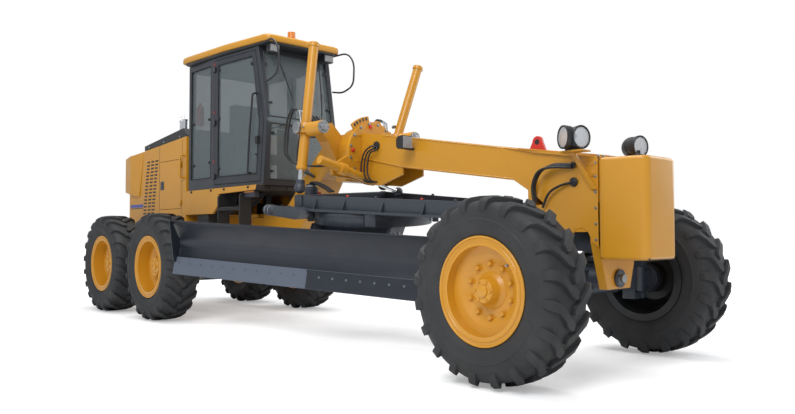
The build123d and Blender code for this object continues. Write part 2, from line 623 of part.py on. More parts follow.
def main():
    os.makedirs("parts", exist_ok=True)
    make_wheels()
    make_rear_axle()
    make_tandems()
    make_rear_frame()
    make_engine()
    make_hood()
    make_tail()
    make_cab()
    make_roof()
    base = make_cab_base()
    make_cab_inside()
    make_steps(base)
    frame = make_front_frame()
    make_nose()
    make_saddle(frame)
    make_front_axle()
    make_knuckles()
    make_lamps()
    make_drawbar()
    make_circle()
    make_blade()
    make_lift_cylinders()
    make_shift_cylinder()


main()
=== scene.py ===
"""Motor grader: finishes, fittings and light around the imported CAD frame. Metres throughout."""
import json
from math import cos, pi, radians, sin

import bmesh
import bpy
from mathutils import Matrix, Vector

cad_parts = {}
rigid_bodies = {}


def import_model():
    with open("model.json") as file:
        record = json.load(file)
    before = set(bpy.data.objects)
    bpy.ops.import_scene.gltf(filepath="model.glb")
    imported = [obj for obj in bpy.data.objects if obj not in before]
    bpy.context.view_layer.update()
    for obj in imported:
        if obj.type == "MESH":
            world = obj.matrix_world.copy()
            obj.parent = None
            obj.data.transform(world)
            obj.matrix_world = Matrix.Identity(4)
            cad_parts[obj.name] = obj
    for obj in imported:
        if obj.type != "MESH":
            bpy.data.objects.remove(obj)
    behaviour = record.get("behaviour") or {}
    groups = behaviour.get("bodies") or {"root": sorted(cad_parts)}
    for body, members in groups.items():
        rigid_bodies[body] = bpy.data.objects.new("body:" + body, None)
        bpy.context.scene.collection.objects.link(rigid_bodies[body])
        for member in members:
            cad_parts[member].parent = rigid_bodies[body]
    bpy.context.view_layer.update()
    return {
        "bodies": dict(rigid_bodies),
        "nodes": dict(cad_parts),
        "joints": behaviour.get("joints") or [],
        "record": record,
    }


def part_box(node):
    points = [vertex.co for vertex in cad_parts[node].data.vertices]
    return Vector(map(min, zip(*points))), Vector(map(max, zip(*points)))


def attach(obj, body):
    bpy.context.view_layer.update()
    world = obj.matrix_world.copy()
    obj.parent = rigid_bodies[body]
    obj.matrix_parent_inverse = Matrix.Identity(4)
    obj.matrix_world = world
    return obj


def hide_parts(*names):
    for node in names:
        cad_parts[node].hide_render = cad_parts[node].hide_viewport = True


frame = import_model()
NODES = frame["nodes"]

# Machine coordinates have x 0 over the tandems' centre, y 0 on the middle plane and z 0 on the ground.
_low, _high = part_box("rear_axle")
ORIGIN = Vector(((_low.x + _high.x) / 2, (_low.y + _high.y) / 2, 0))
MACHINE = Matrix.Translation(ORIGIN)
WHEELBASE = 6.219
TANDEM_HALF = 0.769
TRACK_HALF = 1.078
AXLE_Z = 0.67


def at(x, y, z):
    """Row-frame point of a place in machine coordinates."""
    return Vector((x, y, z)) + ORIGIN


# ---- materials ----
class Finish:
    """A material being built: its nodes, and the object's own coordinates as the source of every pattern."""

    def __init__(self, name):
        self.material = bpy.data.materials.new(name)
        self.material.use_nodes = True
        tree = self.material.node_tree
        self.nodes, self.links, self.shader = tree.nodes, tree.links, tree.nodes["Principled BSDF"]
        self.coord = self.add("TexCoord").outputs["Object"]

    def add(self, kind):
        return self.nodes.new("ShaderNode" + kind)

    def feed(self, source, name):
        self.links.new(source, self.shader.inputs[name])

    def set(self, name, value):
        self.shader.inputs[name].default_value = value

    def noise(self, scale, detail=4.0):
        node = self.add("TexNoise")
        for name, value in (("Scale", scale), ("Detail", detail), ("Roughness", 0.55)):
            node.inputs[name].default_value = value
        self.links.new(self.coord, node.inputs["Vector"])
        return node.outputs["Fac"]

    def ramp(self, source, low, high):
        """Colour between two (place, colour) stops."""
        node = self.add("ValToRGB")
        for element, (place, colour) in zip(node.color_ramp.elements, (low, high)):
            element.position, element.color = place, (*colour, 1)
        self.links.new(source, node.inputs["Fac"])
        return node.outputs["Color"]


def combined(nodes, links, operation, first, second):
    node = nodes.new("ShaderNodeMath")
    node.operation = operation
    links.new(first, node.inputs[0])
    links.new(second, node.inputs[1])
    return node.outputs[0]


def scaled(colour, factor):
    return tuple(min(1.0, c * factor) for c in colour)


DUST = (0.2, 0.18, 0.15, 1)


def coated(name, colour, rough, spread=0.06, grain=90.0, bump=0.04, coat=0.0, metallic=0.0, dust=0.0):
    """Painted, moulded or cast: colour drifts a little, dust lies on it and a fine grain breaks the gloss."""
    new = Finish(name)
    base = new.ramp(new.noise(0.9, 3.0), (0.3, scaled(colour, 1 - spread)), (0.7, scaled(colour, 1 + spread)))
    if dust:
        film = new.add("Mix")
        film.data_type = "RGBA"
        film.inputs["B"].default_value = DUST
        patch = new.ramp(new.noise(2.2, 5.0), (0.35, (0, 0, 0)), (0.95, (dust,) * 3))
        new.links.new(patch, film.inputs["Factor"])
        new.links.new(base, film.inputs["A"])
        base = film.outputs["Result"]
    new.feed(base, "Base Color")
    new.feed(new.ramp(new.noise(5.0), (0.3, (rough * 0.85,) * 3), (0.75, (min(1, rough * 1.2),) * 3)),
            "Roughness")
    relief = new.add("Bump")
    relief.inputs["Strength"].default_value = bump
    relief.inputs["Distance"].default_value = 0.004
    new.links.new(new.noise(grain, 3.0), relief.inputs["Height"])
    new.feed(relief.outputs["Normal"], "Normal")
    new.set("Metallic", metallic)
    new.set("Coat Weight", coat)
    new.set("Coat Roughness", 0.12)
    return new.material


def clear(name, colour, rough, alpha):
    """Tinted pane."""
    new = Finish(name)
    new.feed(new.ramp(new.noise(2.0), (0.3, scaled(colour, 0.93)), (0.7, colour)), "Base Color")
    new.feed(new.ramp(new.noise(7.0), (0.4, (rough,) * 3), (0.8, (rough * 2,) * 3)), "Roughness")
    new.set("Alpha", alpha)
    new.set("Specular IOR Level", 0.6)
    return new.material


YELLOW = coated("yellow_paint", (0.575, 0.262, 0.013), 0.36, 0.03, 160.0, 0.02, coat=0.2, dust=0.05)
SLATE = coated("slate_paint", (0.032, 0.04, 0.055), 0.42, 0.06, 140.0, 0.04, coat=0.15, dust=0.06)
BLADE_GREY = coated("blade_paint", (0.09, 0.108, 0.145), 0.45, 0.06, 140.0, 0.05, coat=0.1, dust=0.06)
BLADE_DARK = coated("moldboard_paint", (0.012, 0.016, 0.025), 0.42, 0.1, 140.0, 0.04, dust=0.04)
CAB_GREY = coated("cab_grey_paint", (0.022, 0.026, 0.034), 0.38, 0.05, 140.0, 0.03, coat=0.2, dust=0.04)
# BLACK is real black paint on most parts, and painted shade in the hood louvres, the saddle lock holes, the
# lifting eye's hole and the inboard side of the front rims
BLACK = coated("black_paint", (0.016, 0.017, 0.019), 0.4, 0.1, 140.0, 0.05, dust=0.03)
PLASTIC = coated("black_plastic", (0.022, 0.023, 0.025), 0.58, 0.1, 420.0, 0.12)
RUBBER = coated("hose_rubber", (0.013, 0.013, 0.014), 0.52, 0.12, 300.0, 0.08)
TYRE = coated("tyre_rubber", (0.019, 0.0205, 0.023), 0.72, 0.1, 75.0, 0.22, dust=0.1)
STEEL = coated("bare_steel", (0.34, 0.35, 0.36), 0.38, 0.08, 200.0, 0.08, metallic=0.9)
CHROME = coated("chrome", (0.8, 0.81, 0.83), 0.1, 0.03, 60.0, 0.01, metallic=1.0)
TRIM_GREY = coated("pale_grey_trim", (0.42, 0.44, 0.46), 0.45, 0.06, 120.0, 0.04)
PANE_BAR = coated("pane_joint", (0.105, 0.13, 0.14), 0.2, 0.05, 60.0, 0.01, coat=0.4)
BLUE = coated("blue_stripe", (0.035, 0.055, 0.33), 0.35, 0.04, 120.0, 0.02, coat=0.3)
RED = coated("red_paint", (0.55, 0.025, 0.015), 0.35, 0.06, 120.0, 0.04, coat=0.2)
AMBER = clear("amber_lens", (0.75, 0.24, 0.02), 0.12, 0.9)
RED_LENS = clear("red_lens", (0.5, 0.012, 0.01), 0.1, 0.92)
LENS = clear("lamp_lens", (0.8, 0.82, 0.84), 0.05, 0.38)
GLASS = clear("tinted_glass", (0.15, 0.185, 0.195), 0.04, 0.5)
FABRIC = coated("seat_cloth", (0.028, 0.029, 0.032), 0.85, 0.15, 700.0, 0.5)

NODE_FINISH = {
    YELLOW: ("rear_frame", "engine_hood", "engine_door_right", "engine_door_left", "radiator_guard",
             "cab_roof", "front_frame", "nose_box", "saddle", "lift_barrel_right", "lift_barrel_left",
             "shift_barrel", "lamp_arms", "cab_base", "tandem_cases"),
    SLATE: ("knuckle_right", "knuckle_left", "front_axle", "drawbar", "circle", "blade_carrier", "rear_axle",
            "tie_rod"),
    BLADE_DARK: ("moldboard",),
    BLADE_GREY: ("cutting_edge",),
    CAB_GREY: ("cab_frame", "cab_door_right", "cab_door_left"),
    BLACK: ("engine", "hood_cover", "head_lamps", "hitch_pin", "steps"),
    PLASTIC: ("control_console", "steering_wheel", "circle_drive"),
    CHROME: ("lift_rod_right", "lift_rod_left", "shift_rod", "exhaust_stack"),
    GLASS: ("cab_glass", "door_glass_right", "door_glass_left"),
    AMBER: ("beacon",),
    FABRIC: ("operator_seat",),
}


NODE_ANGLE, PIECE_ANGLE, WELD_REACH = 32, 38, 0.00005  # degrees, degrees, metres


def bevel(obj, width, angle):
    """Rounds the edges sharper than angle and shades faces flat up to the rounding."""
    edges = obj.modifiers.new("edges", "BEVEL")
    edges.width = width
    edges.segments = 2
    edges.limit_method = "ANGLE"
    edges.angle_limit = radians(angle)
    edges.harden_normals = True


def add_object(name, data):
    obj = bpy.data.objects.new(name, data)
    bpy.context.scene.collection.objects.link(obj)
    return obj


for finish, names in NODE_FINISH.items():
    for name in names:
        mesh = NODES[name].data
        mesh.materials.clear()
        mesh.materials.append(finish)
for name, node in NODES.items():
    if name.startswith(("tyre_", "rim_")):
        node.data.materials.clear()
        node.data.materials.append(TYRE if name.startswith("tyre_") else YELLOW)


# ---- shape tools ----
class Shape:
    """Corners and faces of one piece, drawn in a frame of its own and kept in the row's."""

    def __init__(self, frame):
        self.frame, self.points, self.faces = frame, [], []

    def add(self, points, faces):
        base = len(self.points)
        self.points += [self.frame @ Vector(p) for p in points]
        self.faces += [[base + i for i in face] for face in faces]

    def rings(self, rings, capped=True, joined=False):
        """Skin over rings of equal count; joined closes the last ring onto the first."""
        count, last = len(rings[0]), len(rings)
        spans = last if joined else last - 1
        faces = [(k * count + i, k * count + (i + 1) % count, (k + 1) % last * count + (i + 1) % count,
                  (k + 1) % last * count + i) for k in range(spans) for i in range(count)]
        if capped and not joined:
            faces += [tuple(range(count))[::-1], tuple((last - 1) * count + i for i in range(count))]
        self.add([p for ring in rings for p in ring], faces)

    def prism(self, outline, depth):
        """A flat outline pushed along depth."""
        depth = Vector(depth)
        self.rings([[Vector(p) for p in outline], [Vector(p) + depth for p in outline]])

    def box(self, x, y, z):
        """A block between a low and a high value on each axis."""
        self.prism([(x[0], y[0], z[0]), (x[1], y[0], z[0]), (x[1], y[1], z[0]), (x[0], y[1], z[0])],
                   (0, 0, z[1] - z[0]))

    def plate_y(self, outline, y0, y1):
        """A plate drawn in side view (x, z)."""
        self.prism([(x, y0, z) for x, z in outline], (0, y1 - y0, 0))

    def plate_x(self, outline, x0, x1):
        """A plate drawn in front view (y, z)."""
        self.prism([(x0, y, z) for y, z in outline], (x1 - x0, 0, 0))

    def plate_z(self, outline, z0, z1):
        """A plate drawn in plan (x, y)."""
        self.prism([(x, y, z0) for x, y in outline], (0, 0, z1 - z0))

    def circle(self, centre, axis, radius, sides, across=None):
        across = across or axis.orthogonal().normalized()
        side = axis.cross(across)
        return [centre + radius * (cos(a) * across + sin(a) * side)
                for a in (2 * pi * i / sides for i in range(sides))]

    def turned(self, place, axis, profile, sides=32, ring=False):
        """Turned about an axis from (radius, height) pairs; ring closes the profile on itself."""
        axis = Vector(axis).normalized()
        rings = [self.circle(Vector(place) + axis * h, axis, max(r, 0.0004), sides) for r, h in profile]
        self.rings(rings, capped=not ring, joined=ring)

    def bar(self, start, end, radius, end_radius=None, sides=20):
        axis = Vector(end) - Vector(start)
        self.turned(start, axis, [(radius, 0), (end_radius or radius, axis.length)], sides)

    def bolt(self, place, axis, size, stand=1.0):
        """Hexagon head on a washer; size is the head's radius."""
        axis = Vector(axis).normalized()
        place = Vector(place)
        self.turned(place, axis, [(size * 1.45, -0.002), (size * 1.45, size * 0.22)], 18)
        head = [(size, size * 0.22), (size, size * 0.95 * stand), (size * 0.8, size * 1.15 * stand)]
        self.turned(place, axis, head, 6)

    def hose(self, points, radius):
        self.tube(flowing(points), radius)

    def tube(self, path, radius, sides=10):
        """Round tube along a path of points."""
        path = [Vector(p) for p in path]
        last = len(path) - 1
        tangents = [(path[min(i + 1, last)] - path[max(i - 1, 0)]).normalized() for i in range(last + 1)]
        across = tangents[0].orthogonal().normalized()
        rings = []
        for point, tangent in zip(path, tangents):
            across = (across - tangent * across.dot(tangent)).normalized()
            rings.append(self.circle(point, tangent, radius, sides, across))
        self.rings(rings)


def rounded(before, corner, after, radius, share, steps):
    """Arc in place of a corner; it takes up no more than a share of either run."""
    near, far = before - corner, after - corner
    cut = min(radius, near.length * share, far.length * share)
    a, b = corner + near.normalized() * cut, corner + far.normalized() * cut
    shares = [i / steps for i in range(steps + 1)]
    return [a * (1 - t) ** 2 + corner * 2 * t * (1 - t) + b * t * t for t in shares]


def bent(points, radius, steps=5):
    """Path of straight runs with rounded corners, as bent steel tube has."""
    points = [Vector(p) for p in points]
    path = [points[0]]
    for corner in zip(points, points[1:], points[2:]):
        path += rounded(*corner, radius, 0.48, steps)
    return path + [points[-1]]


def flowing(points, steps=8):
    """Smooth path through every point, as a stiff hose takes."""
    points = [Vector(p) for p in points]
    full = [points[0] * 2 - points[1]] + points + [points[-1] * 2 - points[-2]]
    path = []
    for a, b, c, d in zip(full, full[1:], full[2:], full[3:]):
        for i in range(steps):
            t = i / steps
            path.append(0.5 * (2 * b + (c - a) * t + (2 * a - 5 * b + 4 * c - d) * t ** 2
                               + (3 * b - a - 3 * c + d) * t ** 3))
    return path + [points[-1]]


MADE = []


def piece(name, body, finish, frame=MACHINE, rounding=0.002, replaces=()):
    """Starts a piece; it becomes an object once everything is drawn."""
    shape = Shape(frame)
    MADE.append((name, body, finish, rounding, replaces, shape))
    return shape


def make_pieces():
    for name, body, finish, rounding, replaces, shape in MADE:
        mesh = bpy.data.meshes.new(name)
        mesh.from_pydata(shape.points, [], shape.faces)
        work = bmesh.new()
        work.from_mesh(mesh)
        bmesh.ops.recalc_face_normals(work, faces=work.faces)
        work.to_mesh(mesh)
        work.free()
        mesh.shade_smooth()
        mesh.materials.append(finish)
        obj = add_object(name, mesh)
        bevel(obj, rounding, PIECE_ANGLE)
        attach(obj, body)
        if replaces:
            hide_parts(*replaces)


BOTH = (-1, 1)  # right and left
SIDES = ((-1, "right"), (1, "left"))
UP, AHEAD = (0, 0, 1), (1, 0, 0)


def around(count, radius, turn=0.0):
    """Places evenly round a circle; turn is a share of one step."""
    angles = [2 * pi * (k + turn) / count for k in range(count)]
    return [(radius * cos(a), radius * sin(a)) for a in angles]


def about(middle, half):
    """Low and high value of a range about its middle."""
    return middle - half, middle + half


def span(side, near, far):
    """Low and high value of a range that lies on one side of the middle plane."""
    return sorted((side * near, side * far))


# ---- wheels ----
WHEELS = (  # name, x, side, front wheel
    ("front_right", WHEELBASE, -1, True), ("front_left", WHEELBASE, 1, True),
    ("mid_right", TANDEM_HALF, -1, False), ("mid_left", TANDEM_HALF, 1, False),
    ("rear_right", -TANDEM_HALF, -1, False), ("rear_left", -TANDEM_HALF, 1, False),
)
CASING = [(0.372, 0.16), (0.386, 0.176), (0.41, 0.196), (0.45, 0.211), (0.492, 0.217), (0.496, 0.2205),
          (0.504, 0.2205), (0.508, 0.216), (0.55, 0.211), (0.585, 0.203), (0.61, 0.19), (0.626, 0.165),
          (0.634, 0.12), (0.638, 0.06), (0.639, 0.0)]
LUGS = 20
LUG_LINE = (  # radius, z, lean of the outward direction, way back from the tip, half width, height
    (0.639, -0.014, 0, 0.0, 0.022, 0.03), (0.639, 0.01, 0, 0.008, 0.033, 0.031),
    (0.638, 0.05, 2, 0.03, 0.035, 0.031), (0.636, 0.105, 4, 0.086, 0.031, 0.032),
    (0.631, 0.15, 12, 0.126, 0.032, 0.032), (0.618, 0.182, 38, 0.142, 0.034, 0.03),
    (0.602, 0.197, 62, 0.146, 0.034, 0.022), (0.572, 0.206, 78, 0.146, 0.031, 0.014),
    (0.556, 0.209, 82, 0.146, 0.029, 0.004),
)


def wheel_frame(x, side):
    """Local z points outboard, x forward and y up; the left side is the mirror image of the right."""
    turn = Matrix(((1, 0, 0, 0), (0, 0, side, 0), (0, 1, 0, 0), (0, 0, 0, 1)))
    return MACHINE @ Matrix.Translation((x, side * TRACK_HALF, AXLE_Z)) @ turn


def draw_lug(shape, face, angle):
    """One bar of the tread: from its tip past the middle line, out to the shoulder and down the sidewall."""
    rings = []
    for radius, z, lean, back, half, height in LUG_LINE:
        lean = radians(lean)
        out_r, out_z = cos(lean), sin(lean)
        ring = []
        for lift, edge in ((-0.012, half + 0.01), (height, half), (height, -half), (-0.012, -half - 0.01)):
            turn = angle + (back + edge) / 0.64
            r = radius + lift * out_r
            ring.append((r * cos(turn), r * sin(turn), face * (z + lift * out_z)))
        rings.append(ring)
    shape.rings(rings)


def dress_wheels():
    casing = CASING + [(r, -z) for r, z in reversed(CASING[:-1])] + [(0.35, -0.13), (0.35, 0.13)]
    for name, x, side, front in WHEELS:
        body = f"wheel_{name}"
        frame = wheel_frame(x, side)
        tyre = piece(f"tyre_dressed_{name}", body, TYRE, frame, 0.003, (f"tyre_{name}",))
        tyre.turned((0, 0, 0), UP, casing, 72, ring=True)
        for k in range(LUGS):
            for face, shift in ((1, 0.0), (-1, 0.5)):
                draw_lug(tyre, face, 2 * pi * (k + shift) / LUGS)
        trim = piece(f"rim_trim_{name}", body, YELLOW, frame, 0.0015)
        edge = [(0.372, 0.176), (0.384, 0.178), (0.387, 0.184), (0.382, 0.19), (0.372, 0.188), (0.366, 0.18)]
        trim.turned((0, 0, 0), UP, edge, 64, ring=True)
        gutter = [(0.345, 0.174), (0.352, 0.181), (0.346, 0.186), (0.338, 0.18)]
        trim.turned((0, 0, 0), UP, gutter, 64, ring=True)
        face_z, nut_r = (0.06, 0.19) if front else (-0.014, 0.198)
        cap_r, cap_z = (0.07, 0.1555) if front else (0.082, 0.0945)
        if front:
            hub = piece(f"hub_cover_{name}", body, YELLOW, frame, 0.003)
            hub.turned((0, 0, 0), UP, [(0.134, 0.061), (0.128, 0.068), (0.108, 0.074), (0.094, 0.092),
                    (0.088, 0.146), (0.08, 0.156)], 48)
        nuts = piece(f"wheel_nuts_{name}", body, YELLOW, frame, 0.001)
        for u, v in around(10, nut_r, 0.5):
            nuts.bolt((u, v, face_z), UP, 0.02, 1.2)
        for u, v in around(6, cap_r):
            nuts.bolt((u, v, cap_z), UP, 0.01)
        nuts.turned((0, 0, cap_z), UP, [(0.044, -0.002), (0.044, 0.01), (0.036, 0.015)], 24)
        valve = piece(f"valve_{name}", body, STEEL, frame, 0.0005)
        angle = radians(38)
        foot = Vector((0.3 * cos(angle), 0.3 * sin(angle), 0.086 if front else 0.006))
        valve.tube(bent([foot, foot + Vector((0, 0, 0.05)), foot * 1.02 + Vector((0, 0, 0.085))], 0.02),
                0.006, 8)
        valve.bar(foot + Vector((0, 0, 0.08)), foot + Vector((0, 0, 0.105)), 0.009, sides=12)


# ---- frames of the work tool ----
def turned_by(axis, degrees):
    return Matrix.Rotation(radians(degrees), 4, axis)


BALL = Vector((5.78, 0, 1.19))
DRAWBAR_TURN = turned_by("Z", 2.26) @ turned_by("Y", 4.5) @ turned_by("X", 4.0)
DRAWBAR = MACHINE @ Matrix.Translation(BALL) @ DRAWBAR_TURN
CIRCLE = DRAWBAR @ Matrix.Translation((-2.08, 0, 0)) @ turned_by("Z", -74.4)


def machine_point(frame, place):
    """Machine coordinates of a place in another frame."""
    return MACHINE.inverted() @ frame @ Vector(place)


def along(start, end):
    """Frame with its origin at start and its z axis towards end."""
    line = Vector(end) - Vector(start)
    return MACHINE @ Matrix.Translation(Vector(start)) @ line.to_track_quat("Z", "Y").to_matrix().to_4x4()


def riding(body, frame=MACHINE):
    """Starter of the pieces that ride one body."""
    def start(name, finish, rounding=0.001, replaces=()):
        return piece(name, body, finish, frame, rounding, replaces)
    return start


on_front, on_rear = riding("front_body"), riding("rear_body")
on_drawbar = riding("drawbar", DRAWBAR)
on_circle, on_blade = riding("circle", CIRCLE), riding("blade", CIRCLE)


# ---- front frame ----
EYE_X, EYE_Z, EYE_RADIUS = 5.786, 1.852, 0.052


def dress_front():
    cheeks = on_front("front_cheeks", YELLOW, 0.005)
    side = [(5.64, 1.53), (5.95, 1.38), (6.08, 1.28), (6.2, 1.08), (6.29, 1.0), (6.3, 1.05),
            (6.34, 1.095), (6.4, 1.11), (6.45, 1.08), (6.49, 1.0), (6.54, 0.96), (6.54, 1.65),
            (6.0, 1.738), (5.5, 1.82)]

    def flare(x):
        return 0.158 + 0.122 * min(1.0, max(0.0, (x - 5.64) / 0.36))

    for s in BOTH:
        outer = [(x, s * (flare(x) + 0.004), z) for x, z in side]
        inner = [(x, s * (flare(x) - 0.022), z) for x, z in side]
        cheeks.rings([inner, outer])
    lid = on_front("front_cheek_lid", YELLOW, 0.004)
    for a, b in (((5.7, 1.785), (6.0, 1.738)), ((6.0, 1.738), (6.54, 1.65))):
        lid.rings([[(x, y * flare(x), z - d) for y, d in ((-1, 0), (1, 0), (1, 0.02), (-1, 0.02))]
                   for x, z in (a, b)])
    bolts = on_front("front_bolts", STEEL, 0.0006)
    for s in BOTH:
        for z in (1.02, 1.14, 1.26, 1.38, 1.5, 1.6):
            bolts.bolt((6.522, s * 0.284, z), (0, s, 0), 0.008)
        for y in (0.1, 0.2, 0.27):
            bolts.bolt((6.54, s * y, 1.652), UP, 0.01)
    pin = on_front("axle_pivot_pin", STEEL, 0.002)
    pin.turned((6.541, 0, 0.72), AHEAD, [(0.06, 0), (0.06, 0.014), (0.034, 0.02), (0.034, 0.05)], 28)
    hook = on_front("nose_tow_pin", BLACK, 0.003)
    hook.plate_y([(6.56, 0.872), (6.9, 0.872), (6.9, 0.89), (6.56, 0.89)], -0.19, 0.19)
    hook.turned((6.72, 0, 1.64), UP, [(0.03, 0), (0.03, 0.03), (0.016, 0.034), (0.016, 0.06)], 20)
    eye = on_front("boom_lifting_eye", RED, 0.004)
    turns = [pi * k / 8 for k in range(9)]
    crown = [(EYE_X + EYE_RADIUS * cos(a), EYE_Z + EYE_RADIUS * sin(a)) for a in turns]
    eye.plate_y([(5.686, 1.76), (5.886, 1.742)] + crown, -0.014, 0.014)
    # painted shade: a black plug fills the eye's hole, for the shade seen through it
    eye_hole_shade = on_front("boom_lifting_eye_hole", BLACK)
    eye_hole_shade.turned((EYE_X, -0.0155, EYE_Z), (0, 1, 0), [(0.024, 0), (0.024, 0.031)], 20)
    hose = on_front("front_hoses", RUBBER, 0.0005)
    for s in BOTH:
        for k in range(3):
            y = s * (0.306 + 0.018 * k)
            hose.hose([(5.992, y, 1.318), (5.98, y, 1.452), (6.036, y, 1.56), (6.157, y, 1.611 - 0.012 * k),
                    (6.326, s * 0.3, 1.602 - 0.012 * k)], 0.01)
        hose.hose([(6.055, s * 0.31, 1.275), (6.122, s * 0.318, 1.386), (6.221, s * 0.314, 1.44),
                (6.335, s * 0.296, 1.466)], 0.01)
        hose.turned((6.335, s * 0.284, 1.466), (0, s, 0), [(0.036, 0), (0.036, 0.012), (0.024, 0.018)], 20)
        hose.turned((6.326, s * 0.284, 1.596), (0, s, 0), [(0.026, 0), (0.026, 0.01), (0.018, 0.014)], 20)
    block = on_front("front_axle_saddle", SLATE, 0.008)
    block.box((6.12, 6.44), (-0.17, 0.17), (0.93, 1.1))
    block.box((6.2, 6.38), (-0.11, 0.11), (1.1, 1.24))
    lean = on_front("front_lean_cylinder", SLATE, 0.002)
    lean.bar((6.219, -0.3, 0.866), (6.219, 0.32, 0.866), 0.044)
    lean.bar((6.219, 0.32, 0.866), (6.219, 0.56, 0.866), 0.022)
    for y in (-0.33, 0.58):
        lean.turned((6.189, y, 0.866), AHEAD, [(0.04, 0), (0.04, 0.06), (0.018, 0.06), (0.018, 0)], 24,
                    ring=True)
        lean.box((6.17, 6.185), about(y, 0.03), (0.78, 0.9))
        lean.box((6.253, 6.268), about(y, 0.03), (0.78, 0.9))
    step = on_front("front_axle_stops", SLATE, 0.003)
    for s in BOTH:
        step.box((6.115, 6.325), about(s * 0.4, 0.04), (0.78, 0.806))
        step.bar((6.219, s * 0.85, 0.842), (6.219, s * 0.85, 0.862), 0.05, 0.04)


LAMP_FACES = (  # centre of the lens on the left side, facing; the first faces a little right on both sides
    ((6.505, 0.43, 1.786), (0.98, 0, 0), -0.2), ((6.385, 0.505, 1.79), (-0.48, 0.87, 0), 0.0),
)


def dress_lamps():
    shell = on_front("lamp_shells", BLACK, 0.003, ("head_lamps",))
    lens = on_front("lamp_lenses", LENS)
    bowl = on_front("lamp_reflectors", CHROME)
    for s in BOTH:
        for (x, y, z), (fx, fy, fz), turn in LAMP_FACES:
            axis = Vector((fx, s * fy + turn, fz)).normalized()
            face = Vector((x, s * y, z))
            back = face - axis * 0.11
            shell.turned(back, axis, [(0.04, 0), (0.066, 0.012), (0.084, 0.05), (0.09, 0.096),
                    (0.09, 0.112), (0.08, 0.112), (0.078, 0.09), (0.04, 0.06)], 32)
            bowl.turned(face - axis * 0.034, axis, [(0.03, 0), (0.06, 0.014), (0.071, 0.026)], 28)
            lens.turned(face - axis * 0.01, axis, [(0.077, 0), (0.077, 0.006), (0.06, 0.012), (0.0, 0.016)],
                    32)
            shell.turned(face - axis * 0.05, axis, [(0.016, 0), (0.016, 0.02)], 16)
        shell.box((6.36, 6.47), about(s * 0.43, 0.012), (1.692, 1.716))
        shell.bar((6.4, s * 0.43, 1.7), (6.4, s * 0.43, 1.75), 0.016)
    bracket = on_front("lamp_brackets", YELLOW, 0.003, ("lamp_arms",))
    for s in BOTH:
        bracket.rings([[(6.5, s * 0.29, 1.4), (6.54, s * 0.29, 1.4), (6.54, s * 0.304, 1.4),
                (6.5, s * 0.304, 1.4)], [(6.36, s * 0.36, 1.684), (6.4, s * 0.36, 1.684),
                (6.4, s * 0.374, 1.684), (6.36, s * 0.374, 1.684)]])
        bracket.box((6.325, 6.525), span(s, 0.345, 0.47), (1.68, 1.692))
        bracket.box((6.44, 6.525), span(s, 0.281, 0.29), (1.5, 1.61))
        for x, z in ((6.46, 1.52), (6.505, 1.52), (6.46, 1.59), (6.505, 1.59)):
            bracket.bolt((x, s * 0.29, z), (0, s, 0), 0.009)


WORK_LAMP_Y, WORK_LAMP_Z = -0.3, 1.952


def dress_boom():
    top = ((3.95, 2.095), (4.39, 2.02), (5.49, 1.83), (5.7, 1.797))
    low = ((3.6, 1.87), (4.25, 1.73), (5.7, 1.52))
    bead = on_front("boom_weld_beads", YELLOW)
    for s in BOTH:
        for line, way in ((top, -0.01), (low, 0.01)):
            path = [(x, s * 0.161, z + way) for x, z in line]
            bead.tube(path, 0.006, 6)
    plate = on_front("boom_gussets", YELLOW, 0.003)
    for low_y, high_y in ((-0.15, -0.128), (0.128, 0.15)):
        plate.plate_y([(3.62, 1.6), (3.91, 1.57), (4.24, 1.66), (4.24, 1.735), (3.62, 1.862)], low_y, high_y)
    hose = on_front("boom_hoses", RUBBER, 0.0005)
    hose.turned((3.86, -0.16, 1.984), (0, -1, 0), [(0.046, 0), (0.046, 0.014), (0.03, 0.02)], 24)
    for k in range(3):
        x = 0.05 * k
        hose.hose([(3.86, -0.158, 1.984), (3.8 + x, -0.205, 1.975 - 0.02 * k), (3.72 + x, -0.225, 1.9),
                (3.68 + x, -0.225, 1.74), (3.71 + x, -0.21, 1.63), (3.76 + x, -0.13, 1.605)], 0.009)
    lamp = on_front("boom_work_lamp", BLACK, 0.006)
    corners = ((-1, -1), (1, -1), (1, 1), (-1, 1))
    lamp.rings([[(x, WORK_LAMP_Y + y * half, WORK_LAMP_Z + z * half) for y, z in corners]
                for x, half in ((4.35, 0.04), (4.4, 0.062), (4.47, 0.066))])
    lamp.bar((4.41, -0.16, 1.9), (4.41, -0.27, 1.9), 0.014)
    lens = on_front("boom_lamp_lens", LENS)
    lens.rings([[(x, WORK_LAMP_Y + y * 0.056, WORK_LAMP_Z + z * 0.056) for y, z in corners]
                for x in (4.468, 4.476)])


SADDLE_Z = 1.935  # middle of the saddle ring
LIFT_Y = 0.65  # the lift cylinders' yokes


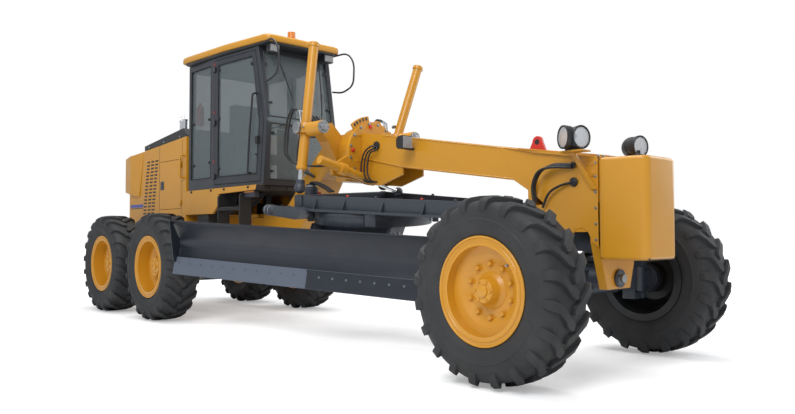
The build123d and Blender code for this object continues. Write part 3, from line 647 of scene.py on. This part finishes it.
def dress_saddle():
    ring = on_front("saddle_ring_bolts", STEEL, 0.0008)
    for u, v in around(16, 0.318, 0.5):
        ring.bolt((3.62, u, SADDLE_Z + v), AHEAD, 0.012)
    caps = on_front("saddle_red_caps", RED, 0.002)
    for y, z in ((-0.05, 2.219), (-0.291, 1.952), (0.291, 1.952)):
        caps.turned((3.62, y, z), AHEAD, [(0.02, 0), (0.02, 0.02), (0.01, 0.026)], 20)
    eye = on_front("saddle_lock_plate", YELLOW, 0.004)
    arc = [(a, 0.405) for a in (97, 103, 109, 115, 121, 127, 133)] + [(a, 0.3) for a in (137, 122, 108, 93)]
    eye.plate_x([(r * cos(radians(a)), SADDLE_Z + r * sin(radians(a))) for a, r in arc],
                3.562, 3.592)
    # painted shade: black plates fill the lock plate's holes, for the shade seen through them
    lock_hole_shade = on_front("saddle_lock_holes", BLACK)
    for a in (102, 109, 116, 123, 129):
        c, d = cos(radians(a)), sin(radians(a))
        slot = ((0.362, -0.012), (0.394, -0.012), (0.394, 0.012), (0.362, 0.012))
        lock_hole_shade.plate_x([(r * c - w * d, SADDLE_Z + r * d + w * c) for r, w in slot], 3.561, 3.594)
    eye.turned((3.575, 0.078, 2.253), AHEAD, [(0.046, 0), (0.046, 0.03), (0.022, 0.03), (0.022, 0)], 24,
               ring=True)
    for y, z in ((-0.21, 2.118), (-0.21, 1.841)):
        eye.box((3.62, 3.626), about(y, 0.034), about(z, 0.01))
    boss = on_front("lift_yoke_bosses", YELLOW, 0.005)
    trunnion = on_front("lift_trunnion_caps", STEEL, 0.003)
    for s in BOTH:
        boss.turned((3.375, s * LIFT_Y, 2.165), AHEAD, [(0.08, 0), (0.072, 0.03), (0.072, 0.21)], 32)
        trunnion.turned((3.585, s * LIFT_Y, 2.165), AHEAD,
                [(0.066, 0), (0.066, 0.018), (0.04, 0.018), (0.036, 0.03), (0.0, 0.032)], 32)
        for u, v in around(6, 0.052):
            trunnion.bolt((3.603, s * LIFT_Y + u, 2.165 + v), AHEAD, 0.007)
        trunnion.turned((3.28, s * 0.755, 2.18), (0, s, 0),
                [(0.062, 0), (0.062, 0.022), (0.048, 0.03), (0.0, 0.032)], 28)
        for (u, _), (_, v) in zip(around(6, 0.088), around(6, 0.04)):
            trunnion.bolt((3.28 + u, s * 0.745, 2.18 + v), (0, s, 0), 0.008)
    for s, side in SIDES:
        outer = piece(f"yoke_hoses_{side}", f"lift_barrel_{side}", STEEL, rounding=0.0005)
        outer.turned((3.232, s * LIFT_Y, 2.33), (-1, 0, 0), [(0.02, -0.02), (0.02, 0.02), (0.012, 0.024)], 16)
    loops = on_front("yoke_feed_hoses", RUBBER, 0.0005)
    pipes = on_front("yoke_feed_pipes", STEEL, 0.0005)
    for s in BOTH:
        for k in range(2):
            y = s * (0.62 - 0.035 * k)
            loops.hose([(3.09, y, 2.4), (2.985, y, 2.43), (2.885, y, 2.3), (2.845, y, 2.08),
                    (2.86, y, 1.93), (2.93, s * (0.54 - 0.03 * k), 1.85),
                    (3.06, s * (0.4 - 0.03 * k), 1.815), (3.23, s * (0.3 - 0.03 * k), 1.82)], 0.011)
            pipes.tube(bent([(3.09, y, 2.398), (3.13, y, 2.385), (3.14, y, 2.3), (3.17, y, 2.22)], 0.03),
                    0.01)
    valve = on_front("saddle_valve_block", BLACK, 0.004)
    valve.box((2.9, 3.02), (-0.33, -0.17), (2.15, 2.3))
    hose = on_front("saddle_hoses", RUBBER, 0.0005)
    for k in range(3):
        y = -0.2 - 0.045 * k
        hose.hose([(2.96, y, 2.29), (2.862, y - 0.02, 2.4), (2.7, y - 0.03, 2.178), (2.66, y - 0.02, 1.853),
                (2.78, -0.175, 1.723)], 0.014)
        hose.hose([(3.02, y, 2.2), (3.14, y - 0.06, 2.31), (3.18, y - 0.1, 2.24)], 0.01)


# ---- cylinders ----
def dress_cylinders():
    for s, name in SIDES:
        pin = Vector((3.28, s * LIFT_Y, 2.18))
        ball = machine_point(DRAWBAR, (-2.56, s * 0.6, 0.205))
        length = (pin - ball).length
        frame = along(ball, pin)
        end = length + 0.93
        shell = piece(f"lift_barrel_dressed_{name}", f"lift_barrel_{name}", YELLOW, frame, 0.002)
        for z in (0.196, end - 0.045):
            shell.turned((0, 0, z), UP, [(0.0525, 0), (0.061, 0.004), (0.061, 0.036), (0.0525, 0.04)], 28,
                    ring=True)
        shell.turned((0, 0, end), UP, [(0.05, -0.001), (0.046, 0.006), (0.0, 0.008)], 28)
        eye = piece(f"lift_rod_eye_{name}", f"lift_rod_{name}", SLATE, frame, 0.003)
        eye.turned((0, 0, 0.062), UP, [(0.05, 0), (0.05, 0.012), (0.036, 0.024)], 28)
        paint(f"lift_rod_{name}", SLATE, lambda p, n, ball=ball: (p - ball).length < 0.1)
    paint("shift_rod", SLATE, lambda p, n: (p - machine_point(DRAWBAR, (-2.11, 0.4, 0.15))).length < 0.075)


# ---- rear body ----
def paint(name, finish, test):
    """Second finish for the faces of a CAD node that pass a test of machine place and normal."""
    node = NODES[name]
    mesh = node.data
    mesh.materials.append(finish)
    slot = len(mesh.materials) - 1
    for face in mesh.polygons:
        place = node.matrix_world @ face.center - ORIGIN
        if test(place, node.matrix_world.to_3x3() @ face.normal):
            face.material_index = slot


def loop(points, radius, steps=5):
    """Closed outline with every corner rounded."""
    points = [Vector(p) for p in points]
    path = []
    for corner in zip(points[-1:] + points, points, points[1:] + points[:1]):
        path += rounded(*corner, radius, 0.45, steps)
    return path


LOUVRE_COLUMNS = (-0.753, -0.609, -0.473)
LOUVRE_TOP, LOUVRE_PITCH, LOUVRE_ROWS, LOUVRE_SLANT = 2.127, 0.0498, 17, 0.169


def dress_hood():
    # painted shade: black plates flush with the hood side stand for the louvre openings, dark with the shade
    # inside the hood; the yellow lips above them are real
    louvre_shade = on_rear("hood_louvres", BLACK)
    lips = on_rear("hood_louvre_lips", YELLOW)
    for s in BOTH:
        y0, y1 = span(s, 0.598, 0.6015)
        for row in range(LOUVRE_ROWS):
            z = LOUVRE_TOP - row * LOUVRE_PITCH
            for first in LOUVRE_COLUMNS:
                x = first - LOUVRE_SLANT * (LOUVRE_TOP - z)
                if first == LOUVRE_COLUMNS[2] and x > -0.385:
                    continue
                louvre_shade.box(about(x, 0.048), (y0, y1), about(z, 0.011))
                lips.prism([(x - 0.05, s * 0.6, z + 0.011), (x - 0.05, s * 0.6, z + 0.02),
                        (x - 0.05, s * 0.608, z + 0.013)], (0.1, 0, 0))
    seams = on_rear("hood_seams", BLACK, 0.0005)
    stripe = on_rear("hood_stripe", BLUE, 0.0005)
    line = on_rear("hood_stripe_line", BLACK, 0.0005)
    handle = on_rear("hood_handles", YELLOW)
    for s, side in SIDES:
        y0, y1 = span(s, 0.6, 0.6012)
        seams.box((-0.385, -0.377), (y0, y1), (1.24, 2.33))
        seams.box((0.325, 0.331), (y0, y1), (1.24, 2.37))
        stripe.box((-1.39, -0.93), (y0, y1), (1.475, 1.52))
        line.box((-1.39, -0.93), (y0, y1), (1.455, 1.467))
        handle.tube(bent([(0.4, s * 0.598, 2.14), (0.4, s * 0.67, 2.14), (0.4, s * 0.67, 1.84),
                (0.4, s * 0.598, 1.84)], 0.05), 0.013)
        for z in (2.14, 1.84):
            handle.turned((0.4, s * 0.6, z), (0, s, 0), [(0.028, 0), (0.028, 0.006)], 20)
        latch = piece(f"engine_door_latch_{side}", f"engine_door_{side}", SLATE, rounding=0.003)
        latch.box((-0.34, -0.235), span(s, 0.6, 0.606), (1.7, 1.82))
        latch.box((-0.315, -0.26), span(s, 0.606, 0.616), (1.735, 1.75))
        latch.turned((-0.288, s * 0.606, 1.785), (0, s, 0), [(0.014, 0), (0.014, 0.005)], 16)
    stacks = on_rear("exhaust_caps", CHROME)
    for x, top in ((0.15, 2.64), (0.24, 2.65)):
        stacks.turned((x, -0.52, top), UP, [(0.034, -0.02), (0.038, -0.018), (0.038, 0.004), (0.028, 0.004),
                (0.028, -0.02)], 24, ring=True)
        stacks.tube(bent([(x, -0.52, top - 0.1), (x - 0.04, -0.52, top + 0.02),
                (x - 0.05, -0.52, top + 0.07)], 0.04), 0.009)
    clamp = on_rear("hood_cover_latches", STEEL)
    for s in BOTH:
        for x, z in ((-0.8, 2.33), (-0.3, 2.362), (0.2, 2.394)):
            clamp.bolt((x, s * 0.577, z + 0.022), (0, s, 0), 0.01)


def dress_cap():
    grille = on_rear("radiator_grille", BLACK, 0.002)
    for k in range(17):
        z = 1.44 + k * 0.041
        grille.box((-1.884, -1.872), (-0.31, 0.31), (z, z + 0.016))
    lights = on_rear("rear_lamps", RED_LENS, 0.004)
    glow = on_rear("rear_turn_lamps", AMBER, 0.004)
    hinge = on_rear("radiator_hinges", BLACK, 0.003)
    for s in BOTH:
        y0, y1 = span(s, 0.345, 0.4)
        lights.box((-1.858, -1.846), (y0, y1), (1.96, 2.04))
        glow.box((-1.858, -1.846), (y0, y1), (1.88, 1.95))
        for z in (1.5, 1.78, 2.06):
            hinge.bar((-1.862, s * 0.334, z), (-1.862, s * 0.334, z + 0.07), 0.012)
    hook = on_rear("tow_pin", STEEL, 0.002)
    hook.bar((-2.03, 0, 0.79), (-2.03, 0, 1.01), 0.018)
    hook.turned((-2.03, 0, 1.01), UP, [(0.019, 0), (0.019, 0.014), (0.012, 0.02)], 20)


ROOF_MIDDLE = 1.4


def dress_roof():
    edge = [(0.45, -0.705), (1.53, -0.64), (2.3, -0.54), (2.35, -0.5), (2.35, 0.5), (2.3, 0.54),
            (1.53, 0.64), (0.45, 0.705)]
    plan = loop(edge, 0.13)
    shell = on_rear("roof_dressed", YELLOW, 0.001, ("cab_roof",))
    layers = ((0.975, 3.342), (0.995, 3.346), (1.0, 3.354), (1.0, 3.398), (0.992, 3.412), (0.965, 3.426),
              (0.9, 3.444), (0.78, 3.462), (0.6, 3.47))
    shell.rings([[(ROOF_MIDDLE + (p.x - ROOF_MIDDLE) * k, p.y * k, z) for p in plan] for k, z in layers])
    under = on_rear("roof_visor", BLACK, 0.003)
    layers = ((0.9, 3.311), (0.945, 3.318), (0.965, 3.33), (0.97, 3.343))
    under.rings([[(ROOF_MIDDLE + (p.x - ROOF_MIDDLE) * k, p.y * k, z) for p in plan] for k, z in layers])
    lamp = on_rear("roof_lamps", BLACK, 0.004)
    lens = on_rear("roof_lamp_lenses", LENS)
    for s in BOTH:
        lamp.box((2.215, 2.29), about(s * 0.4, 0.07), (3.225, 3.32))
        lens.box((2.29, 2.297), about(s * 0.4, 0.06), (3.235, 3.31))
        lamp.bar((2.25, s * 0.4, 3.31), (2.25, s * 0.4, 3.345), 0.014)
    base = on_rear("beacon_base", BLACK, 0.002)
    base.turned((2.05, 0, 3.462), UP, [(0.07, 0), (0.07, 0.022), (0.056, 0.03)], 28)
    hatch = on_rear("roof_hatch", TRIM_GREY, 0.012)
    hatch.box((0.75, 1.3), (-0.3, 0.3), (3.44, 3.5))


DOOR_PANE = [(1.285, 1.79), (2.098, 1.79), (2.15, 2.4), (2.01, 3.21), (1.285, 3.21)]
QUARTER_PANE = [(0.58, 1.79), (1.12, 1.79), (1.12, 3.23), (0.58, 3.23)]
DOOR_CLIPS = ((1.3, 3.15), (1.985, 3.12), (1.3, 2.529), (2.125, 2.506), (1.3, 1.9), (2.085, 2.02))
CLIP = [(0.017, 0), (0.017, 0.02), (0.01, 0.026)]
QUARTER_CLIPS = ((0.63, 2.531), (1.063, 2.546), (0.64, 1.977), (1.071, 1.991))
FRONT_CLIPS = ((0.47, 3.1), (0.455, 2.63), (0.44, 2.27), (0.43, 1.82))


def half_width(x):
    """Half the cab's width; it narrows towards the front."""
    return 0.6 - 0.095 * max(0.0, (x - 1.18) / 1.11)


def front_x(z):
    """Front face of the cab at one height."""
    if z <= 2.41:
        return 2.23 + 0.06 * (z - 1.65) / 0.76
    return 2.29 - 0.17 * (z - 2.41) / 0.9


def seal(shape, outline, s, width):
    """Rubber strip round an opening of the cab's side."""
    points = [(x, s * (half_width(x) - 0.004), z) for x, z in outline]
    shape.tube(points + [points[0], points[1]], width, 6)


def dress_cab():
    trim = on_rear("cab_seals", RUBBER, 0.0005)
    clips = on_rear("cab_glass_clips", BLACK)
    marks = on_rear("cab_post_marks", RED, 0.0005)
    for s, side in SIDES:
        seal(trim, QUARTER_PANE, s, 0.01)
        for x, z in QUARTER_CLIPS:
            clips.turned((x, s * 0.58, z), (0, s, 0), CLIP, 18)
        for z in (3.215, 2.598, 1.973):
            marks.box((1.203, 1.213), span(s, 0.596, 0.603), (z, z + 0.035))
        door = piece(f"door_seal_{side}", f"cab_door_{side}", RUBBER, rounding=0.0005)
        seal(door, DOOR_PANE, s, 0.01)
        knob = piece(f"door_clips_{side}", f"cab_door_{side}", BLACK, rounding=0.001)
        for x, z in DOOR_CLIPS:
            y = half_width(x) - 0.018
            knob.turned((x, s * y, z), (0, s, 0), CLIP, 18)
        knob.tube(bent([(2.1, s * 0.518, 2.742), (2.1, s * 0.58, 2.742), (2.03, s * 0.58, 2.25),
                (1.99, s * 0.58, 1.8), (1.99, s * 0.528, 1.8)], 0.05), 0.012)
        knob.box((2.095, 2.15), span(s, 0.52, 0.548), (2.14, 2.23))
        lamp = on_rear(f"cab_grab_loop_{side}", BLACK)
        y = s * 0.55
        lamp.tube(bent([(2.15, s * 0.5, 3.325), (2.479, y, 3.335), (2.61, y, 3.19), (2.595, y, 2.905),
                (2.369, y, 2.846), (2.235, s * 0.5, 2.87)], 0.1), 0.011)
    pane = on_rear("front_seals", RUBBER, 0.0005)
    for half, z0, z1 in ((0.455, 2.46, 3.25), (0.44, 1.72, 2.38)):
        ring = [(front_x(z0) - 0.004, -half, z0), (front_x(z0) - 0.004, half, z0),
                (front_x(z1) - 0.004, half, z1), (front_x(z1) - 0.004, -half, z1)]
        pane.tube(ring + ring[:2], 0.01, 6)
    for s in BOTH:
        for y, z in FRONT_CLIPS:
            x = front_x(z)
            clips.turned((x - 0.02, s * (y - 0.035), z), AHEAD, [(0.017, 0), (0.017, 0.026), (0.01, 0.032)],
                    18)
    wipers = on_rear("wipers", BLACK)
    for y0, y1, z0, z1 in ((0.3, 0.06, 3.27, 2.6), (0.34, 0.3, 3.27, 2.56), (-0.3, -0.12, 3.27, 2.7)):
        a, b = Vector((front_x(z0) + 0.022, y0, z0)), Vector((front_x(z1) + 0.022, y1, z1))
        wipers.tube([a, a.lerp(b, 0.5) + Vector((0.008, 0, 0)), b], 0.008, 8)
        wipers.tube([b + Vector((0.0, 0, 0.26)), b + Vector((-0.006, 0, 0)), b + Vector((-0.01, 0, -0.22))],
                0.007, 6)
    bolts = on_rear("sill_bolts", BLACK, 0.0006)
    for s in BOTH:
        for x in (0.604, 1.137, 1.47, 2.04):
            bolts.bolt((x, s * 0.6, 1.628), (0, s, 0), 0.012)
    for y in (-0.4, -0.15, 0.15, 0.4):
        bolts.bolt((2.2, y, 1.622), AHEAD, 0.012)
    paint("cab_frame", PANE_BAR, lambda p, n: abs(p.y) < 0.45 and 2.375 < p.z < 2.465 and p.x > 2.18)
    bottle = on_rear("cab_extinguisher", RED, 0.002)
    bottle.turned((0.64, -0.5, 2.52), UP, [(0.044, 0), (0.05, 0.01), (0.05, 0.23), (0.03, 0.262),
            (0.016, 0.27), (0.016, 0.31)], 24)
    paint("cab_base", BLACK, lambda p, n: abs(p.y) < 0.565 and p.z < 1.645)
    for s, side in SIDES:
        paint(f"cab_door_{side}", BLACK, lambda p, n, s=s: abs(n.y) < 0.6 and abs(n.x) > 0.5)


def dress_steps():
    tread = on_rear("step_treads", BLACK, 0.003)
    rung = on_rear("step_grips", STEEL)
    for s in BOTH:
        for z in (1.015, 1.39):
            y0, y1 = span(s, 0.485, 0.628)
            tread.box((1.362, 1.865), (y0, y1), (z, z + 0.01))
            for k in range(9):
                for j in range(3):
                    rung.turned((1.4 + k * 0.054, s * (0.515 + j * 0.038), z + 0.009), UP,
                            [(0.01, 0), (0.01, 0.006), (0.006, 0.006)], 10)
    under = on_rear("under_cab_boxes", BLACK, 0.006)
    for s in BOTH:
        under.box((0.7, 1.0), span(s, 0.34, 0.56), (1.18, 1.5))
    under.box((1.1, 1.34), (-0.5, -0.34), (1.35, 1.56))
    for s in BOTH:
        under.bar((0.85, s * 0.45, 1.5), (0.85, s * 0.45, 1.585), 0.03)
    valve = on_rear("under_cab_valves", SLATE, 0.004)
    for k in range(5):
        valve.box((1.9 + k * 0.046, 1.938 + k * 0.046), (-0.565, -0.5), (1.51, 1.586))
    mark = on_rear("under_cab_marks", AMBER)
    mark.box((1.9, 2.12), (-0.57, -0.564), (1.566, 1.584))
    hose = on_rear("under_cab_hoses", RUBBER, 0.0005)
    for k in range(5):
        y = -0.42 + 0.05 * k
        hose.hose([(1.2, y, 1.56), (1.3, y - 0.02, 1.44), (1.42, y, 1.4), (1.6, y + 0.02, 1.47),
                (1.8, y, 1.585)], 0.014)


# ---- work tool ----
BEAM_SLOPE = 0.2273  # how the drawbar's side beams spread towards the rear
GEARBOX_X, GEARBOX_Y = -2.84, -0.23
MOTOR_Y, MOTOR_Z = -0.735, -0.04


def dress_drawbar():
    rib = on_drawbar("drawbar_gussets", SLATE, 0.003)
    for s in BOTH:
        for x in (-0.6, -1.05, -1.5, -1.95, -2.3):
            y = s * (0.09 + (-0.14 - x) * BEAM_SLOPE)
            wide = s * 0.05
            rib.prism([(x - 0.006, y, 0.0), (x - 0.006, y + wide, 0.0), (x - 0.006, y, 0.11)], (0.012, 0, 0))
        for x in (-0.75, -1.6):
            y = s * (0.075 + (-0.14 - x) * BEAM_SLOPE)
            rib.bolt((x, y, 0.131), UP, 0.014)
    cap = on_drawbar("drawbar_red_caps", RED)
    for x, y in ((-1.95, -0.47), (-1.1, -0.285)):
        cap.turned((x, y, 0.131), UP, [(0.012, 0), (0.012, 0.014), (0.006, 0.018)], 16)
    nose = on_drawbar("drawbar_socket", SLATE, 0.003)
    for z in (-0.085, 0.062):
        nose.turned((0, 0, z), UP, [(0.078, 0), (0.116, 0), (0.116, 0.022), (0.078, 0.022)], 36, ring=True)
    for k in range(5):
        a = pi / 2 + pi * k / 4
        nose.bolt((0.097 * cos(a), 0.097 * sin(a), 0.084), UP, 0.009)
    hull = on_drawbar("circle_gearbox", SLATE, 0.01)
    hull.prism([(-2.96, -0.33, -0.01), (-2.62, -0.33, -0.01), (-2.54, -0.23, -0.01),
                (-2.62, -0.13, -0.01), (-2.96, -0.13, -0.01)], (0, 0, 0.12))
    hull.turned((GEARBOX_X, GEARBOX_Y, 0.11), UP, [(0.075, 0), (0.075, 0.07), (0.06, 0.084), (0.06, 0.12)],
            28)
    for u, v in around(8, 0.086):
        hull.bolt((GEARBOX_X + u, GEARBOX_Y + v, 0.11), UP, 0.008)
    hull.rings([[(x, y, z) for x, z in ((-2.76, -0.09), (-2.38, -0.105), (-2.28, -0.045), (-2.38, 0.015),
            (-2.76, 0.01))] for y in (-0.8, -0.67)])
    hull.bar((-2.96, MOTOR_Y, MOTOR_Z), (-2.75, MOTOR_Y, MOTOR_Z), 0.056)
    hull.bar((-2.99, MOTOR_Y, MOTOR_Z), (-2.96, MOTOR_Y, MOTOR_Z), 0.04)
    for x, z in ((-2.7, 0.013), (-2.56, 0.014), (-2.43, 0.014)):
        hull.bolt((x, MOTOR_Y, z), UP, 0.01)
    mark = on_drawbar("circle_motor_rings", STEEL, 0.002)
    mark.turned((GEARBOX_X, GEARBOX_Y, 0.2), UP, [(0.0605, 0), (0.064, 0), (0.064, 0.016), (0.0605, 0.016)],
            28, ring=True)
    for x in (-2.94, -2.88):
        mark.turned((x, MOTOR_Y, MOTOR_Z), AHEAD, [(0.0565, 0), (0.06, 0), (0.06, 0.014), (0.0565, 0.014)],
                24, ring=True)
    tap = on_drawbar("circle_motor_cap", RED)
    tap.turned((-2.76, -0.18, 0.11), UP, [(0.016, 0), (0.016, 0.03), (0.01, 0.034)], 16)
    hose = on_drawbar("circle_hoses", RUBBER, 0.0005)
    for k in range(3):
        y = -0.26 + 0.03 * k
        hose.hose([(GEARBOX_X, y, 0.225), (-2.78, y, 0.25), (-2.64, y + 0.03, 0.2),
                (-2.56, y + 0.06, 0.15)], 0.012)
    shift = on_drawbar("shift_ball_base", SLATE, 0.003)
    shift.turned((-2.11, 0.4, 0.06), UP, [(0.06, 0), (0.06, 0.008), (0.044, 0.011)], 28)


def dress_circle():
    gear = on_circle("circle_teeth", STEEL)
    for c, d in around(72, 1):
        ring = [(0.551 * c + w * d, 0.551 * d - w * c) for w in (-0.013, 0.013)]
        tip = [(0.528 * c + w * d, 0.528 * d - w * c) for w in (0.007, -0.007)]
        gear.plate_z(ring + tip, -0.15, -0.04)
    shoe = on_drawbar("circle_shoes", SLATE, 0.004)
    for k in range(4):
        c, d = cos(radians(45 + 90 * k)), sin(radians(45 + 90 * k))
        corners = ((0.626, -0.07), (0.626, 0.07), (0.69, 0.05), (0.69, -0.05))
        outline = [(-2.08 + r * c + w * d, r * d - w * c) for r, w in corners]
        shoe.plate_z(outline, -0.148, -0.022)
    band = on_circle("circle_band", SLATE)
    band.turned((0, 0, -0.062), UP, [(0.6195, 0), (0.623, 0), (0.623, 0.02), (0.6195, 0.02)], 72, ring=True)
    arm = on_circle("circle_arm_bolts", STEEL, 0.0008)
    for s in BOTH:
        for x, z in ((0.3, -0.23), (0.38, -0.23), (0.42, -0.33), (0.54, -0.48)):
            arm.bolt((x, s * 0.48, z), (0, s, 0), 0.014)
        arm.turned((0.64, s * 0.48, -0.61), (0, s, 0), [(0.04, 0), (0.04, 0.012), (0.028, 0.018)], 24)


BLADE_RIGHT, BLADE_LEFT = -2.125, 1.515
SEAM_Y = -0.298  # where the cutting edge's two sections meet


def dress_blade():
    edge_line = (Vector((0.757, 0, -0.586)), Vector((0.803, 0, -0.776)))
    down = (edge_line[1] - edge_line[0]).normalized()
    out = Vector((-down.z, 0, down.x))
    bolts = on_blade("edge_bolts", BLADE_GREY, 0.0008)
    for k in range(23):
        y = BLADE_RIGHT + 0.06 + k * 0.16
        place = edge_line[0] + down * 0.07 + out * 0.002
        bolts.turned((place.x, y, place.z), out, [(0.013, -0.004), (0.013, 0.003), (0.007, 0.005)], 14)
    section = on_blade("edge_inner_section", BLADE_DARK, 0.0006)
    top, low = edge_line[0] + down * 0.004, edge_line[1] - down * 0.002
    section.prism([(p.x + out.x * d, SEAM_Y, p.z + out.z * d)
                   for p, d in ((top, -0.002), (top, 0.0016), (low, 0.0016), (low, -0.002))],
                  (0, BLADE_LEFT - SEAM_Y, 0))
    seam = on_blade("edge_seam", BLACK, 0.0004)
    place = edge_line[0] + down * 0.01
    seam.box((place.x, place.x + 0.004), (-0.304, SEAM_Y), (-0.7, -0.59))
    lip = on_blade("moldboard_ribs", BLADE_DARK, 0.002)
    lip.box((0.822, 0.838), (BLADE_RIGHT, BLADE_LEFT), (-0.186, -0.174))
    for y in (-1.6, -1.0, 0.7, 1.3):
        lip.box((0.64, 0.69), about(y, 0.01), (-0.56, -0.3))
    ends = on_blade("blade_end_bolts", BLACK, 0.0008)
    for y, way in ((BLADE_RIGHT, -1), (BLADE_LEFT, 1)):
        for x, z in ((0.8, -0.22), (0.78, -0.32), (0.772, -0.42), (0.772, -0.52), (0.784, -0.6)):
            ends.turned((x, y, z), (0, way, 0), [(0.013, -0.001), (0.013, 0.004), (0.008, 0.006)], 14)
    tips = piece("carrier_pins", "blade_carrier", STEEL, CIRCLE, 0.001)
    for s in BOTH:
        for z in (-0.56, -0.3):
            tips.bolt((0.585, s * 0.424, z), (0, s, 0), 0.012)


# ---- carried-over nodes ----
SOFTENED = (  # edge radius, nodes
    (0.006, ("engine_hood", "radiator_guard", "rear_frame", "front_frame", "saddle", "tandem_cases")),
    (0.004, ("drawbar", "circle", "blade_carrier", "front_axle", "rear_axle", "cab_base", "hood_cover",
             "steps")),
    (0.005, ("cab_frame", "cab_door_right", "cab_door_left", "engine_door_right", "engine_door_left")),
    (0.03, ("operator_seat",)),
    (0.002, ("moldboard", "cutting_edge", "control_console")),
)


def dress_nodes():
    for width, names in SOFTENED:
        for name in names:
            NODES[name].modifiers.new("weld", "WELD").merge_threshold = WELD_REACH
            bevel(NODES[name], width, NODE_ANGLE)
    nose = on_front("nose_dressed", YELLOW, 0.028, ("nose_box",))
    plan = loop([(6.541, -0.3), (6.908, -0.216), (6.908, 0.216), (6.541, 0.3)], 0.06, 8)
    nose.rings([[(p[0], p[1], z) for p in plan] for z in (0.87, 1.64)])
    # painted shade: on both front rims the faces turned inboard and the inboard half get the black finish,
    # for the shade inside the wheel
    for name, _, side, front in WHEELS:
        if front:
            paint(f"rim_{name}", BLACK, lambda p, n, s=side: s * n.y < -0.3 or abs(p.y) < TRACK_HALF + 0.045)


# ---- light, floor and camera ----
CAMERA_PLACE = (9.541, -5.065, 1.065)
CAMERA_YAW, CAMERA_PITCH, CAMERA_ROLL = 137.57, 2.16, -0.14
CAMERA_LENS, SENSOR = 32.83, 36.0


def make_camera():
    data = bpy.data.cameras.new("camera")
    data.lens = CAMERA_LENS
    data.sensor_width = SENSOR
    data.clip_end = 200
    camera = add_object("camera", data)
    turn = (Matrix.Rotation(radians(CAMERA_YAW - 90), 4, "Z")
            @ Matrix.Rotation(radians(90 + CAMERA_PITCH), 4, "X")
            @ Matrix.Rotation(radians(CAMERA_ROLL), 4, "Z"))
    camera.matrix_world = Matrix.Translation(at(*CAMERA_PLACE)) @ turn
    bpy.context.scene.camera = camera


def make_lamp(name, place, target, size, power):
    data = bpy.data.lights.new(name, "AREA")
    data.shape = "DISK"
    data.size = size
    data.energy = power
    lamp = add_object(name, data)
    line = at(*target) - at(*place)
    lamp.matrix_world = Matrix.Translation(at(*place)) @ line.to_track_quat("-Z", "Y").to_matrix().to_4x4()


def make_world():
    """Even grey sky for the light, seen as white by the camera and through glass."""
    world = bpy.data.worlds.new("studio")
    bpy.context.scene.world = world
    world.use_nodes = True
    nodes, links = world.node_tree.nodes, world.node_tree.links
    sky = nodes["Background"]
    sky.inputs["Color"].default_value = (0.93, 0.96, 1.0, 1)
    sky.inputs["Strength"].default_value = 0.55
    seen = nodes.new("ShaderNodeBackground")
    seen.inputs["Color"].default_value = (1, 1, 1, 1)
    rays = nodes.new("ShaderNodeLightPath").outputs
    camera_or_glass = combined(nodes, links, "MAXIMUM", rays["Is Camera Ray"], rays["Is Transmission Ray"])
    mix = nodes.new("ShaderNodeMixShader")
    links.new(camera_or_glass, mix.inputs["Fac"])
    links.new(sky.outputs[0], mix.inputs[1])
    links.new(seen.outputs[0], mix.inputs[2])
    links.new(mix.outputs[0], nodes["World Output"].inputs["Surface"])


FLOOR_HALF = 60.0


def make_floor():
    mesh = bpy.data.meshes.new("floor")
    corners = [(x * FLOOR_HALF, y * FLOOR_HALF, 0) for x, y in ((-1, -1), (1, -1), (1, 1), (-1, 1))]
    mesh.from_pydata(corners, [], [(0, 1, 2, 3)])
    floor = add_object("floor", mesh)
    pale = Finish("pale_floor")
    pale.feed(pale.ramp(pale.noise(0.8), (0.3, (0.86,) * 3), (0.7, (0.88,) * 3)), "Base Color")
    pale.set("Roughness", 0.9)
    pale.set("Specular IOR Level", 0.0)
    # the far floor turns white for the camera, so that it has no horizon
    away = pale.add("VectorMath")
    away.operation = "LENGTH"
    pale.links.new(pale.coord, away.inputs[0])
    reach = pale.add("MapRange")
    for name, value in (("From Min", 4.5), ("From Max", 13.0), ("To Min", 0.3), ("To Max", 1.0)):
        reach.inputs[name].default_value = value
    pale.links.new(away.outputs["Value"], reach.inputs["Value"])
    pale.set("Emission Color", (1, 1, 1, 1))
    seen = pale.add("LightPath").outputs["Is Camera Ray"]
    strength = combined(pale.nodes, pale.links, "MULTIPLY", reach.outputs[0], seen)
    pale.feed(strength, "Emission Strength")
    mesh.materials.append(pale.material)


for dress in (dress_wheels, dress_front, dress_lamps, dress_boom, dress_saddle, dress_cylinders, dress_hood,
              dress_cap, dress_roof, dress_cab, dress_steps, dress_drawbar, dress_circle, dress_blade,
              dress_nodes):
    dress()
make_pieces()
make_camera()
make_world()
make_floor()
make_lamp("key", (9.0, -9.0, 9.0), (2.4, 0.0, 1.0), 7.0, 880)
make_lamp("top", (2.0, 0.0, 12.0), (2.4, 0.0, 0.0), 9.0, 900)
make_lamp("left_fill", (8.0, 10.0, 5.0), (2.4, 0.0, 1.0), 7.0, 330)

scene = bpy.context.scene
scene.view_settings.view_transform = "Standard"
